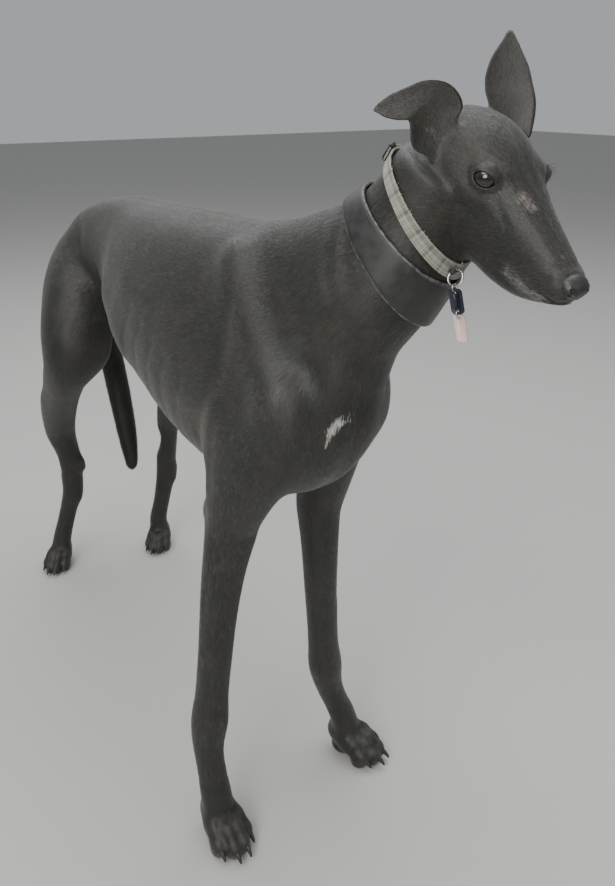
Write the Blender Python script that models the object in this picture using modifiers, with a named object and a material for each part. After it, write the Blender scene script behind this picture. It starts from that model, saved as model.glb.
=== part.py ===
# A standing greyhound with two collars, life size, in metres.
# While it is built, x runs from tail to nose, y to its left and z up from the ground.
# The finished nodes are shifted together so that the origin is the middle of the box's base.

import math

import bmesh
import bpy
import numpy as np
from mathutils import Matrix, Vector
from mathutils.bvhtree import BVHTree

# Mesh fineness.
bodyVoxel = 0.0055
headVoxel = 0.0019
pawVoxel = 0.0024
bodyTriangles = 3600
headTriangles = 2700
pawTriangles = 330

# Gap between neighbouring nodes.
partGap = 0.0003

# Trunk sections, rear to front: x, y, top, bottom, widest level, half width, squareness.
trunkRows = [
    (-0.650, 0.000, 0.602, 0.565, 0.586, 0.016, 2.0),
    (-0.630, 0.000, 0.620, 0.548, 0.590, 0.034, 2.1),
    (-0.600, 0.000, 0.638, 0.534, 0.595, 0.050, 2.2),
    (-0.550, 0.000, 0.663, 0.532, 0.605, 0.060, 2.2),
    (-0.490, -0.001, 0.685, 0.540, 0.615, 0.064, 2.2),
    (-0.430, -0.003, 0.697, 0.543, 0.622, 0.062, 2.2),
    (-0.370, -0.006, 0.701, 0.530, 0.622, 0.064, 2.2),
    (-0.300, -0.010, 0.704, 0.498, 0.610, 0.076, 2.2),
    (-0.220, -0.014, 0.709, 0.464, 0.595, 0.088, 2.2),
    (-0.140, -0.017, 0.714, 0.442, 0.580, 0.092, 2.2),
    (-0.060, -0.019, 0.717, 0.432, 0.570, 0.089, 2.2),
    (0.000, -0.020, 0.722, 0.434, 0.570, 0.080, 2.2),
    (0.050, -0.020, 0.730, 0.444, 0.570, 0.070, 2.1),
    (0.100, -0.018, 0.712, 0.468, 0.570, 0.054, 2.1),
    (0.133, -0.014, 0.665, 0.505, 0.575, 0.038, 2.1),
    (0.150, -0.012, 0.620, 0.545, 0.580, 0.022, 2.0),
]

# Neck sections, shoulders to skull: x, y, z, half depth, half width.
neckRows = [
    (0.000, -0.019, 0.610, 0.080, 0.058),
    (0.070, -0.014, 0.648, 0.084, 0.058),
    (0.119, 0.001, 0.6795, 0.0765, 0.054),
    (0.151, 0.020, 0.7145, 0.0605, 0.0500),
    (0.169, 0.032, 0.7480, 0.0485, 0.0470),
    (0.188, 0.042, 0.779, 0.0430, 0.0465),
]

# Leg sections, top to bottom: x, y, z, reach forward, reach backward, half width, heading.
legRows = {
    "front_right": [
        (0.102, -0.064, 0.575, 0.034, 0.045, 0.025, 0),
        (0.080, -0.072, 0.520, 0.038, 0.052, 0.028, 0),
        (0.045, -0.077, 0.468, 0.040, 0.050, 0.030, 0),
        (0.024, -0.079, 0.430, 0.035, 0.044, 0.029, 0),
        (0.018, -0.080, 0.405, 0.030, 0.034, 0.0275, 0),
        (0.016, -0.087, 0.369, 0.0245, 0.027, 0.0245, 0),
        (0.014, -0.093, 0.330, 0.0215, 0.0235, 0.0225, 0),
        (0.010, -0.096, 0.290, 0.0195, 0.0215, 0.0210, 0),
        (0.007, -0.100, 0.242, 0.0185, 0.0200, 0.0200, 0),
        (0.002, -0.103, 0.195, 0.0188, 0.0195, 0.0200, 0),
        (0.000, -0.106, 0.158, 0.0205, 0.0225, 0.0225, 0),
        (-0.002, -0.108, 0.122, 0.0165, 0.0195, 0.0190, 0),
        (0.000, -0.107, 0.094, 0.0155, 0.0165, 0.0175, 0),
        (0.004, -0.105, 0.062, 0.0160, 0.0165, 0.0195, 3),
        (0.010, -0.103, 0.030, 0.0150, 0.0160, 0.0200, 5),
    ],
    "front_left": [
        (0.088, 0.028, 0.575, 0.032, 0.045, 0.024, 0),
        (0.062, 0.032, 0.515, 0.034, 0.050, 0.026, 0),
        (0.032, 0.034, 0.460, 0.036, 0.042, 0.028, 0),
        (0.018, 0.035, 0.425, 0.032, 0.035, 0.0275, 0),
        (0.011, 0.035, 0.398, 0.028, 0.029, 0.0260, 2),
        (0.008, 0.038, 0.360, 0.0245, 0.0245, 0.0235, 4),
        (0.006, 0.041, 0.320, 0.0215, 0.0225, 0.0220, 6),
        (0.002, 0.045, 0.280, 0.0195, 0.0215, 0.0210, 8),
        (-0.003, 0.050, 0.235, 0.0185, 0.0200, 0.0200, 10),
        (-0.009, 0.056, 0.188, 0.0188, 0.0195, 0.0200, 13),
        (-0.014, 0.063, 0.150, 0.0205, 0.0225, 0.0225, 16),
        (-0.017, 0.071, 0.115, 0.0165, 0.0195, 0.0190, 20),
        (-0.017, 0.080, 0.087, 0.0155, 0.0165, 0.0175, 24),
        (-0.014, 0.090, 0.060, 0.0160, 0.0165, 0.0195, 26),
        (-0.008, 0.097, 0.030, 0.0150, 0.0160, 0.0200, 28),
    ],
    "hind_right": [
        (-0.525, -0.040, 0.625, 0.055, 0.062, 0.030, 0),
        (-0.510, -0.060, 0.570, 0.076, 0.083, 0.044, 0),
        (-0.485, -0.077, 0.520, 0.074, 0.080, 0.046, -4),
        (-0.462, -0.091, 0.478, 0.058, 0.070, 0.042, -8),
        (-0.475, -0.097, 0.437, 0.042, 0.054, 0.034, -12),
        (-0.510, -0.097, 0.397, 0.034, 0.043, 0.028, -18),
        (-0.555, -0.092, 0.345, 0.025, 0.033, 0.0240, -24),
        (-0.595, -0.083, 0.290, 0.018, 0.028, 0.0205, -32),
        (-0.612, -0.074, 0.248, 0.019, 0.031, 0.0180, -38),
        (-0.620, -0.068, 0.215, 0.019, 0.027, 0.0185, -40),
        (-0.628, -0.065, 0.180, 0.0165, 0.0200, 0.0175, -40),
        (-0.635, -0.065, 0.145, 0.0150, 0.0165, 0.0170, -40),
        (-0.648, -0.074, 0.095, 0.0140, 0.0150, 0.0160, -40),
        (-0.656, -0.083, 0.055, 0.0140, 0.0155, 0.0175, -40),
        (-0.655, -0.089, 0.028, 0.0140, 0.0150, 0.0180, -40),
    ],
    "hind_left": [
        (-0.515, 0.040, 0.625, 0.055, 0.062, 0.030, 0),
        (-0.495, 0.060, 0.570, 0.076, 0.083, 0.044, 0),
        (-0.468, 0.075, 0.520, 0.074, 0.080, 0.046, 0),
        (-0.440, 0.082, 0.478, 0.058, 0.070, 0.042, -3),
        (-0.445, 0.085, 0.433, 0.042, 0.054, 0.034, -8),
        (-0.478, 0.086, 0.385, 0.034, 0.043, 0.028, -14),
        (-0.520, 0.088, 0.330, 0.025, 0.033, 0.0240, -20),
        (-0.556, 0.095, 0.275, 0.018, 0.028, 0.0205, -28),
        (-0.573, 0.099, 0.236, 0.019, 0.031, 0.0180, -34),
        (-0.582, 0.099, 0.205, 0.019, 0.027, 0.0185, -36),
        (-0.590, 0.099, 0.170, 0.0165, 0.0200, 0.0175, -36),
        (-0.597, 0.098, 0.138, 0.0150, 0.0165, 0.0170, -36),
        (-0.609, 0.094, 0.092, 0.0140, 0.0150, 0.0160, -36),
        (-0.619, 0.090, 0.055, 0.0140, 0.0155, 0.0175, -36),
        (-0.618, 0.091, 0.028, 0.0140, 0.0150, 0.0180, -36),
    ],
}

# Tail sections, root to tip: x, y, z, radius.
tailRows = [
    (-0.600, 0.000, 0.608, 0.022),
    (-0.640, 0.002, 0.592, 0.021),
    (-0.668, 0.008, 0.548, 0.0185),
    (-0.668, 0.020, 0.480, 0.0170),
    (-0.655, 0.033, 0.390, 0.0160),
    (-0.640, 0.041, 0.300, 0.0150),
    (-0.630, 0.046, 0.225, 0.0120),
    (-0.622, 0.047, 0.172, 0.0060),
]

# Muscles on each side: centre x, side offset, z, the three radii, turn about y.
trunkOffset = -0.020
muscles = {
    "blade": (0.048, 0.046, 0.635, 0.044, 0.027, 0.088, -28),
    "shoulder": (0.100, 0.049, 0.564, 0.035, 0.027, 0.050, -10),
    "triceps": (0.018, 0.058, 0.520, 0.054, 0.026, 0.080, -6),
    "breast": (0.100, 0.024, 0.525, 0.030, 0.028, 0.048, 20),
    "elbow": (-0.016, 0.060, 0.414, 0.018, 0.017, 0.028, 10),
    "loin": (-0.330, 0.024, 0.678, 0.150, 0.025, 0.023, 0),
    "haunch": (-0.500, 0.032, 0.632, 0.072, 0.030, 0.044, -16),
    "seat": (-0.598, 0.032, 0.560, 0.036, 0.026, 0.048, -14),
}

# Paws: middle x, middle y, heading, size.
pawRows = {
    "front_right": (0.014, -0.102, 5, 1.0),
    "front_left": (-0.003, 0.100, 28, 1.0),
    "hind_right": (-0.652, -0.092, -40, 0.92),
    "hind_left": (-0.613, 0.088, -36, 0.92),
}
# Toes: side offset, tip reach, of a paw at full size.
toeRows = [(-0.0185, 0.030), (-0.0065, 0.043), (0.0065, 0.043), (0.0185, 0.030)]

headPlace = (0.242, 0.055, 0.7745)
headYaw = -3.0
headNod = 30.0
headTilt = -2.0
headSize = 0.86

# Head sections, nape to lips, at full scale about the middle between the eyes:
# x, top, bottom, widest level, half width, squareness.
headRows = [
    (-0.112, 0.000, -0.050, -0.022, 0.022, 2.0),
    (-0.096, 0.022, -0.070, -0.022, 0.040, 2.1),
    (-0.068, 0.035, -0.085, -0.018, 0.048, 2.2),
    (-0.038, 0.037, -0.091, -0.015, 0.048, 2.2),
    (-0.010, 0.031, -0.091, -0.015, 0.043, 2.2),
    (0.014, 0.020, -0.083, -0.021, 0.035, 2.2),
    (0.040, 0.008, -0.0815, -0.028, 0.0280, 2.3),
    (0.068, -0.002, -0.0745, -0.031, 0.0232, 2.4),
    (0.092, -0.010, -0.0610, -0.033, 0.0205, 2.4),
    (0.106, -0.015, -0.0495, -0.033, 0.0182, 2.4),
    (0.115, -0.019, -0.044, -0.033, 0.0150, 2.2),
]
# Swellings of the head on each side: centre x, side offset, z, radii.
headBalls = {
    "cheek": (-0.042, 0.028, -0.042, 0.036, 0.022, 0.038),
    "arch": (-0.030, 0.034, -0.014, 0.038, 0.014, 0.018),
    "brow": (-0.006, 0.022, 0.014, 0.018, 0.010, 0.008),
    "throat": (-0.034, 0.009, -0.075, 0.038, 0.021, 0.025),
    "lip": (0.064, 0.011, -0.044, 0.046, 0.0125, 0.014),
}
eyeMiddle = (-0.003, 0.0305, 0.0055)
eyeRadius = 0.0125
lidThickness = 0.0016
eyeAxis = (0.55, 0.83, 0.08)
eyeOpening = (0.0128, 0.0094)
noseMiddle = (0.1085, 0.0, -0.0262)
noseRadii = (0.0125, 0.0152, 0.0118)
nostrilMiddle = (0.1190, 0.0078, -0.0262)
nostrilRadii = (0.0050, 0.0024, 0.0034)
# Line of the mouth from the front to its corner: x, side offset, z.
mouthRows = [
    (0.117, 0.004, -0.0400),
    (0.103, 0.017, -0.0425),
    (0.075, 0.0225, -0.0480),
    (0.040, 0.0275, -0.0530),
]
mouthDepth = 0.0022
mouthWidth = 0.0018

# Ears, root to tip, in the head's frame: middle, direction across, half width, cupping.
earThickness = 0.0028
earRows = {
    "left": [
        (-0.0500, 0.0270, 0.0020, 0.53, 0.84, -0.14, 0.0215, 1.15),
        (-0.0560, 0.0305, 0.0140, 0.53, 0.84, -0.14, 0.0235, 1.10),
        (-0.0613, 0.0326, 0.0240, 0.53, 0.84, -0.14, 0.0240, 1.00),
        (-0.0769, 0.0374, 0.0380, 0.36, 0.93, 0.09, 0.0256, 0.80),
        (-0.0938, 0.0413, 0.0488, 0.30, 0.94, 0.16, 0.0240, 0.60),
        (-0.1047, 0.0445, 0.0573, 0.27, 0.95, 0.19, 0.0207, 0.50),
        (-0.1143, 0.0475, 0.0646, 0.27, 0.95, 0.19, 0.0154, 0.45),
        (-0.1234, 0.0517, 0.0723, 0.26, 0.95, 0.19, 0.0085, 0.40),
        (-0.1320, 0.0549, 0.0790, 0.26, 0.95, 0.19, 0.0022, 0.30),
    ],
    "right": [
        (-0.0450, -0.0400, -0.0060, 0.09, 0.82, 0.56, 0.0225, 1.05),
        (-0.0500, -0.0500, 0.0060, 0.09, 0.82, 0.56, 0.0245, 1.00),
        (-0.0563, -0.0556, 0.0163, 0.09, 0.82, 0.56, 0.0251, 0.95),
        (-0.0661, -0.0576, 0.0307, 0.11, 0.83, 0.55, 0.0251, 0.75),
        (-0.0729, -0.0656, 0.0359, -0.13, 0.73, 0.68, 0.0245, 0.55),
        (-0.0789, -0.0778, 0.0335, -0.30, 0.61, 0.74, 0.0216, 0.45),
        (-0.0839, -0.0889, 0.0275, -0.37, 0.55, 0.75, 0.0153, 0.40),
        (-0.0883, -0.0982, 0.0223, -0.44, 0.48, 0.76, 0.0082, 0.35),
        (-0.0902, -0.1040, 0.0180, -0.42, 0.50, 0.76, 0.0022, 0.30),
    ],
}
earColumns = 8

# Thin cuts that part the body: middle, direction through the cut, half size.
cutRows = {
    "head": ((0.1738, 0.0352, 0.7442), (0.722, 0.3875, 0.573), 0.100),
    "neck": ((0.1000, -0.0060, 0.6700), (0.80, 0.18, 0.57), 0.125),
    "tail": ((-0.6680, 0.0100, 0.5380), (0.05, 0.14, -0.99), 0.026),
    "front_right": ((0.0120, -0.0800, 0.4160), (0.0, 0.0, -1.0), 0.060),
    "front_left": ((0.0060, 0.0360, 0.4160), (0.0, 0.0, -1.0), 0.060),
    "hind_right": ((-0.5100, -0.0750, 0.5350), (-0.10, -0.55, -0.83), 0.135),
    "hind_left": ((-0.4900, 0.0750, 0.5350), (-0.10, 0.55, -0.83), 0.135),
}
pawCutHeight = 0.060

# Collars: middle, direction along the neck, half widths at nape and throat, thickness,
# slack at nape and throat.
collars = {
    "narrow": {
        "middle": (0.1738, 0.0352, 0.7442),
        "along": (0.722, 0.3875, 0.573),
        "half": (0.0056, 0.0056),
        "thick": 0.0020,
        "slack": (0.0010, 0.0022),
    },
    "wide": {
        "middle": (0.1528, 0.0210, 0.7176),
        "along": (0.640, 0.365, 0.676),
        "half": (0.0112, 0.0200),
        "thick": 0.0030,
        "slack": (0.0014, 0.0024),
    },
}
collarSteps = 48
collarReach = 0.085
# Fittings of the narrow collar: start and end angle from the nape toward the left, in degrees,
# height over the strap, thickness, share of the strap's width.
strapEnd = (-16.0, 48.0, 0.0004, 0.0016, 0.94)
sliderFrame = (-14.0, -4.0, 0.0, 0.0040, 1.18)
sliderHole = (-18.0, 0.0, -0.0020, 0.0044, 1.00)
clasp = (52.0, 84.0, 0.0004, 0.0060, 1.15)
# Ring and tags at the throat.
loopAngle = 208
loopStep = 0.4
loopHalf = 0.0024
loopPlay = 0.0008
loopWall = 0.0012
loopLift = 0.0022
hangWay = (0.114, 0.174, -1.0)
ringRadius = 0.0068
ringWire = 0.0010
linkRadius = 0.0032
linkWire = 0.0005
linkGap = 0.0005
tagHole = 0.0016
tagRim = 0.0013
darkTag = {"width": 0.0115, "height": 0.0215, "thick": 0.0028, "corner": 0.0036}
paleTag = {"width": 0.0105, "height": 0.0235, "thick": 0.0018, "corner": 0.0030}

# Claws: radii at root and tip, length, height and drop over the length.
clawRadii = (0.0031, 0.0013)
clawLength = 0.0150
clawHeight = 0.0100
clawDrop = 38.0

# Colours as red, green, blue, roughness, metallic.
coats = {
    "coat": (0.012, 0.011, 0.011, 0.55, 0.0),
    "nose_skin": (0.010, 0.010, 0.011, 0.38, 0.0),
    "eye": (0.020, 0.011, 0.006, 0.08, 0.0),
    "claw": (0.045, 0.040, 0.036, 0.45, 0.0),
    "tartan_fabric": (0.560, 0.510, 0.420, 0.85, 0.0),
    "black_leather": (0.014, 0.014, 0.015, 0.38, 0.0),
    "black_plastic": (0.020, 0.020, 0.022, 0.45, 0.0),
    "steel": (0.600, 0.590, 0.560, 0.28, 1.0),
    "navy_plastic": (0.018, 0.022, 0.050, 0.40, 0.0),
    "pale_plastic": (0.720, 0.580, 0.540, 0.45, 0.0),
}


def clearScene():
    for item in list(bpy.data.objects):
        bpy.data.objects.remove(item, do_unlink=True)


def smoothRows(rows, steps):
    # A smooth curve through the rows of a table, each column on its own.
    table = np.array(rows, float)
    padded = np.vstack([2 * table[0] - table[1], table, 2 * table[-1] - table[-2]])
    found = []
    for i in range(len(table) - 1):
        a, b, c, d = padded[i : i + 4]
        for t in np.linspace(0, 1, steps, endpoint=False):
            bend = (2 * a - 5 * b + 4 * c - d) * t * t + (3 * b - a - 3 * c + d) * t**3
            found.append(0.5 * (2 * b + (c - a) * t + bend))
    found.append(table[-1])
    return np.array(found)


def loft(mesh, rings):
    # Each ring lists its points in the same order; both ends close on their middle.
    rows = [[mesh.verts.new(point) for point in ring] for ring in rings]
    count = len(rows[0])
    for low, high in zip(rows, rows[1:]):
        for i in range(count):
            j = (i + 1) % count
            mesh.faces.new((low[i], low[j], high[j], high[i]))
    for ring in (rows[0], rows[-1]):
        tip = mesh.verts.new(sum((v.co for v in ring), Vector()) / count)
        for i in range(count):
            mesh.faces.new((ring[i], ring[(i + 1) % count], tip))


def ringAt(middle, side, up, width, above, below, square=2.0, count=28):
    points = []
    for i in range(count):
        angle = 2 * math.pi * i / count
        c, s = math.cos(angle), math.sin(angle)
        across = math.copysign(abs(c) ** (2 / square), c) * width
        rise = math.copysign(abs(s) ** (2 / square), s) * (above if s > 0 else below)
        points.append(middle + side * across + up * rise)
    return points


def trunk(mesh):
    rings = []
    for x, y, top, bottom, level, width, square in smoothRows(trunkRows, 4):
        middle = Vector((x, y, level))
        up = Vector((0, 0, 1))
        rings.append(ringAt(middle, Vector((0, 1, 0)), up, width, top - level, level - bottom, square))
    loft(mesh, rings)


def pathRings(rows, steps=4):
    # Sections stand square to the path. A last column, if the row has seven, is the heading in degrees.
    table = smoothRows(rows, steps)
    for i, row in enumerate(table):
        before = Vector(table[max(i - 1, 0)][:3])
        after = Vector(table[min(i + 1, len(table) - 1)][:3])
        along = (after - before).normalized()
        heading = math.radians(row[6]) if len(row) == 7 else 0.0
        side = Vector((-math.sin(heading), math.cos(heading), 0))
        side = (side - along * side.dot(along)).normalized()
        yield Vector(row[:3]), side, along.cross(side).normalized(), row[3:6]


def neck(mesh):
    rings = []
    for p, side, up, (deep, wide) in pathRings(neckRows):
        rings.append(ringAt(p, side, up, wide, deep, deep, 2.1))
    loft(mesh, rings)


def leg(mesh, rows):
    rings = []
    for middle, side, front, (ahead, behind, width) in pathRings(rows):
        rings.append(ringAt(middle, side, front, width, ahead, behind, 2.1))
    loft(mesh, rings)


def tail(mesh):
    loft(mesh, [ringAt(p, side, up, r, r, r) for p, side, up, (r,) in pathRings(tailRows)])


def ball(mesh, middle, radii, turn=None, rows=16):
    matrix = Matrix.Translation(middle) @ (turn or Matrix.Identity(4)) @ Matrix.Diagonal((*radii, 1))
    bmesh.ops.create_uvsphere(mesh, u_segments=rows * 3 // 2, v_segments=rows, radius=1, matrix=matrix)


def muscleBalls(mesh):
    for x, offset, z, a, b, c, pitch in muscles.values():
        for side in (-1, 1):
            shift = trunkOffset if x > -0.2 else 0.0
            turn = Matrix.Rotation(math.radians(pitch), 4, "Y")
            ball(mesh, Vector((x, shift + side * offset, z)), (a, b, c), turn)


def headMatrix():
    turn = Matrix.Rotation(math.radians(headYaw), 4, "Z") @ Matrix.Rotation(math.radians(headNod), 4, "Y")
    turn = turn @ Matrix.Rotation(math.radians(headTilt), 4, "X")
    return Matrix.Translation(headPlace) @ turn @ Matrix.Scale(headSize, 4)


def skull(mesh):
    place = headMatrix()
    rings = []
    for x, top, bottom, level, width, square in smoothRows(headRows, 4):
        up = Vector((0, 0, 1))
        middle = Vector((x, 0, level))
        ring = ringAt(middle, Vector((0, 1, 0)), up, width, top - level, level - bottom, square)
        rings.append([place @ point for point in ring])
    loft(mesh, rings)
    for x, offset, z, a, b, c in headBalls.values():
        for side in (-1, 1):
            radii = (a * headSize, b * headSize, c * headSize)
            ball(mesh, place @ Vector((x, side * offset, z)), radii, turnOf(place))
    lid = (eyeRadius + lidThickness) * headSize
    for side in (-1, 1):
        ball(mesh, place @ sided(eyeMiddle, side), (lid, lid, lid))


def turnOf(place):
    return place.to_3x3().normalized().to_4x4()


def sided(point, side):
    return Vector((point[0], side * point[1], point[2]))


def paw(mesh, name):
    x, y, heading, size = pawRows[name]
    place = Matrix.Translation((x, y, 0)) @ Matrix.Rotation(math.radians(heading), 4, "Z")
    shapes = [((-0.014, 0, 0.030), (0.024, 0.0200, 0.020)), ((-0.012, 0, 0.0070), (0.0165, 0.0165, 0.0090))]
    for offset, reach in toeRows:
        shapes.append(((reach - 0.028, offset * 0.92, 0.0245), (0.0180, 0.0088, 0.0135)))
        shapes.append(((reach - 0.012, offset * 1.04, 0.0140), (0.0135, 0.0082, 0.0125)))
        shapes.append(((reach - 0.013, offset * 1.05, 0.0045), (0.0105, 0.0070, 0.0065)))
    for middle, radii in shapes:
        ball(mesh, place @ (Vector(middle) * size), [r * size for r in radii], turnOf(place), 12)
    leg(mesh, legRows[name][-5:])


def makeItem(mesh, name):
    # Takes the bmesh over into an object of the working collection.
    bmesh.ops.recalc_face_normals(mesh, faces=mesh.faces[:])
    data = bpy.data.meshes.new(name)
    mesh.to_mesh(data)
    mesh.free()
    item = bpy.data.objects.new(name, data)
    bench.objects.link(item)
    return item


def bake(item):
    graph = bpy.context.evaluated_depsgraph_get()
    data = bpy.data.meshes.new_from_object(item.evaluated_get(graph))
    item.modifiers.clear()
    item.data = data


def remesh(item, voxel):
    step = item.modifiers.new("skin", "REMESH")
    step.mode = "VOXEL"
    step.voxel_size = voxel
    bake(item)


def pointsOf(item):
    flat = np.empty(len(item.data.vertices) * 3, np.float32)
    item.data.vertices.foreach_get("co", flat)
    return flat.reshape(-1, 3).astype(float)


def setPoints(item, points):
    item.data.vertices.foreach_set("co", points.astype(np.float32).ravel())
    item.data.update()


def relax(item, rounds, strength=None):
    # Moves every point toward the mean of its neighbours, by its own strength from 0 to 1.
    points = pointsOf(item)
    ends = np.empty(len(item.data.edges) * 2, np.int32)
    item.data.edges.foreach_get("vertices", ends)
    a, b = ends.reshape(-1, 2).T
    degree = np.bincount(np.concatenate([a, b]), minlength=len(points))[:, None]
    share = 0.5 if strength is None else 0.5 * strength(points)[:, None]
    for _ in range(rounds):
        total = np.zeros_like(points)
        for axis in range(3):
            total[:, axis] = np.bincount(a, points[b, axis], len(points))
            total[:, axis] += np.bincount(b, points[a, axis], len(points))
        points += share * (total / degree - points)
    setPoints(item, points)


def normalsOf(item):
    flat = np.empty(len(item.data.vertices) * 3, np.float32)
    item.data.vertices.foreach_get("normal", flat)
    return flat.reshape(-1, 3).astype(float)


def pressLine(item, line, depth, width):
    # Sinks the surface along a line of points.
    points, normals = pointsOf(item), normalsOf(item)
    nearest = np.full(len(points), 1.0)
    for start, end in zip(line, line[1:]):
        span = end - start
        t = np.clip((points - start) @ span / (span @ span), 0, 1)
        nearest = np.minimum(nearest, np.linalg.norm(points - start - t[:, None] * span, axis=1))
    setPoints(item, points - normals * (depth * np.exp(-((nearest / width) ** 2)))[:, None])


def thin(item, count):
    item.data.calc_loop_triangles()
    step = item.modifiers.new("thin", "DECIMATE")
    step.ratio = min(1.0, count / len(item.data.loop_triangles))
    bake(item)


def grown(item, by):
    copy = item.copy()
    copy.data = item.data.copy()
    bench.objects.link(copy)
    setPoints(copy, pointsOf(copy) + normalsOf(copy) * by)
    return copy


def combine(item, tool, kind, solver="MANIFOLD"):
    step = item.modifiers.new("join", "BOOLEAN")
    step.operation = kind
    step.solver = solver
    step.object = tool
    bake(item)


def islands(item):
    # Every separate surface of the mesh as its own bmesh, largest first.
    whole = bmesh.new()
    whole.from_mesh(item.data)
    whole.verts.ensure_lookup_table()
    group = {}
    for vert in whole.verts:
        if vert.index in group:
            continue
        group[vert.index] = vert.index
        stack = [vert]
        while stack:
            for edge in stack.pop().link_edges:
                for other in edge.verts:
                    if other.index not in group:
                        group[other.index] = vert.index
                        stack.append(other)
    found = []
    for first in sorted(set(group.values())):
        part = whole.copy()
        part.verts.ensure_lookup_table()
        extra = [v for v in part.verts if group[v.index] != first]
        bmesh.ops.delete(part, geom=extra, context="VERTS")
        found.append(part)
    whole.free()
    return sorted(found, key=lambda part: -abs(part.calc_volume()))


def keepLargest(item):
    found = islands(item)
    found[0].to_mesh(item.data)
    item.data.update()
    for part in found:
        part.free()


def slab(mesh, middle, direction, half, thick=partGap):
    turn = Vector(direction).to_track_quat("Z", "Y").to_matrix().to_4x4()
    size = Matrix.Diagonal((2 * half, 2 * half, thick, 1))
    bmesh.ops.create_cube(mesh, size=1, matrix=Matrix.Translation(middle) @ turn @ size)


def cutFlat(item, height, keepAbove):
    mesh = bmesh.new()
    mesh.from_mesh(item.data)
    everything = mesh.verts[:] + mesh.edges[:] + mesh.faces[:]
    normal = Vector((0, 0, -1 if keepAbove else 1))
    bmesh.ops.bisect_plane(
        mesh, geom=everything, plane_co=(0, 0, height), plane_no=normal, dist=1e-7, clear_outer=True
    )
    rim = [edge for edge in mesh.edges if edge.is_boundary]
    bmesh.ops.holes_fill(mesh, edges=rim, sides=0)
    bmesh.ops.triangulate(mesh, faces=[face for face in mesh.faces if len(face.verts) > 4])
    mesh.to_mesh(item.data)
    mesh.free()


def headLine(rows, side):
    place = headMatrix()
    return [np.array(place @ sided(row, side)) for row in smoothRows(rows, 6)]


def makeHead():
    mesh = bmesh.new()
    skull(mesh)
    neck(mesh)
    item = makeItem(mesh, "head")
    remesh(item, headVoxel)
    back = np.array(headMatrix().inverted())
    relax(item, 50, lambda p: np.clip((-0.030 - (p @ back[0, :3] + back[0, 3])) / 0.03, 0.22, 1))
    for side in (-1, 1):
        pressLine(item, headLine(mouthRows, side), mouthDepth * headSize, mouthWidth * headSize)
    thin(item, headTriangles)
    place = headMatrix()
    for side in (-1, 1):
        eye = place @ sided(eyeMiddle, side)
        axis = (place.to_3x3() @ sided(eyeAxis, side)).normalized()
        up = place.to_3x3() @ Vector((0, 0, 1))
        across = up.cross(axis).normalized()
        turn = Matrix((across, axis.cross(across), axis)).transposed().to_4x4()
        cutter = bmesh.new()
        wide, high = (r * headSize for r in eyeOpening)
        size = Matrix.Diagonal((wide, high, 0.03, 1))
        bmesh.ops.create_cone(
            cutter, cap_ends=True, segments=20, radius1=0.55, radius2=1.3, depth=1,
            matrix=Matrix.Translation(eye + axis * 0.016) @ turn @ size,
        )
        combine(item, makeItem(cutter, "opening"), "DIFFERENCE")
        cutter = bmesh.new()
        radius = eyeRadius * headSize + partGap
        ball(cutter, eye, (radius, radius, radius), turnOf(place), 10)
        combine(item, makeItem(cutter, "orbit"), "DIFFERENCE")
    nose = bmesh.new()
    radii = [r * headSize + partGap for r in noseRadii]
    ball(nose, place @ Vector(noseMiddle), radii, turnOf(place))
    combine(item, makeItem(nose, "socket"), "DIFFERENCE")
    keepLargest(item)
    return item


def makeNose():
    place = headMatrix()
    mesh = bmesh.new()
    ball(mesh, place @ Vector(noseMiddle), [r * headSize for r in noseRadii], turnOf(place), 10)
    item = makeItem(mesh, "nose")
    for side in (-1, 1):
        mesh = bmesh.new()
        turn = turnOf(place) @ Matrix.Rotation(math.radians(-35 * side), 4, "Z")
        ball(mesh, place @ sided(nostrilMiddle, side), [r * headSize for r in nostrilRadii], turn, 7)
        combine(item, makeItem(mesh, "nostril"), "DIFFERENCE")
    keepLargest(item)
    return item


def makeEye(name, side):
    mesh = bmesh.new()
    radius = eyeRadius * headSize
    ball(mesh, headMatrix() @ sided(eyeMiddle, side), (radius, radius, radius), turnOf(headMatrix()), 10)
    return makeItem(mesh, name)


def makeEar(name, rows):
    place = headMatrix()
    table = smoothRows(rows, 2)
    mesh = bmesh.new()
    sheet = []
    for i, row in enumerate(table):
        middle = Vector(row[:3])
        along = Vector(table[min(i + 1, len(table) - 1)][:3]) - Vector(table[max(i - 1, 0)][:3])
        across = Vector(row[3:6]).normalized()
        face = across.cross(along).normalized()
        wide, bend = row[6], max(row[7], 0.05)
        radius = wide / math.sin(bend)
        sides = []
        for k in range(earColumns + 1):
            angle = bend * (2 * k / earColumns - 1)
            out = across * math.sin(angle) + face * -math.cos(angle)
            rise = radius * (math.cos(angle) - math.cos(bend))
            point = middle + across * radius * math.sin(angle) - face * rise
            sides.append((point, out))
        half = earThickness / 2
        pair = [[mesh.verts.new(place @ (p + o * half * s)) for p, o in sides] for s in (-1, 1)]
        sheet.append(pair)
    for (lowIn, lowOut), (highIn, highOut) in zip(sheet, sheet[1:]):
        for k in range(earColumns):
            for low, high in ((lowIn, highIn), (lowOut, highOut)):
                mesh.faces.new((low[k], low[k + 1], high[k + 1]))
                mesh.faces.new((low[k], high[k + 1], high[k]))
        for k in (0, earColumns):
            mesh.faces.new((lowIn[k], lowOut[k], highOut[k], highIn[k]))
    for inner, outer in (sheet[0], sheet[-1]):
        for k in range(earColumns):
            mesh.faces.new((inner[k], inner[k + 1], outer[k + 1], outer[k]))
    return makeItem(mesh, name)


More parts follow.
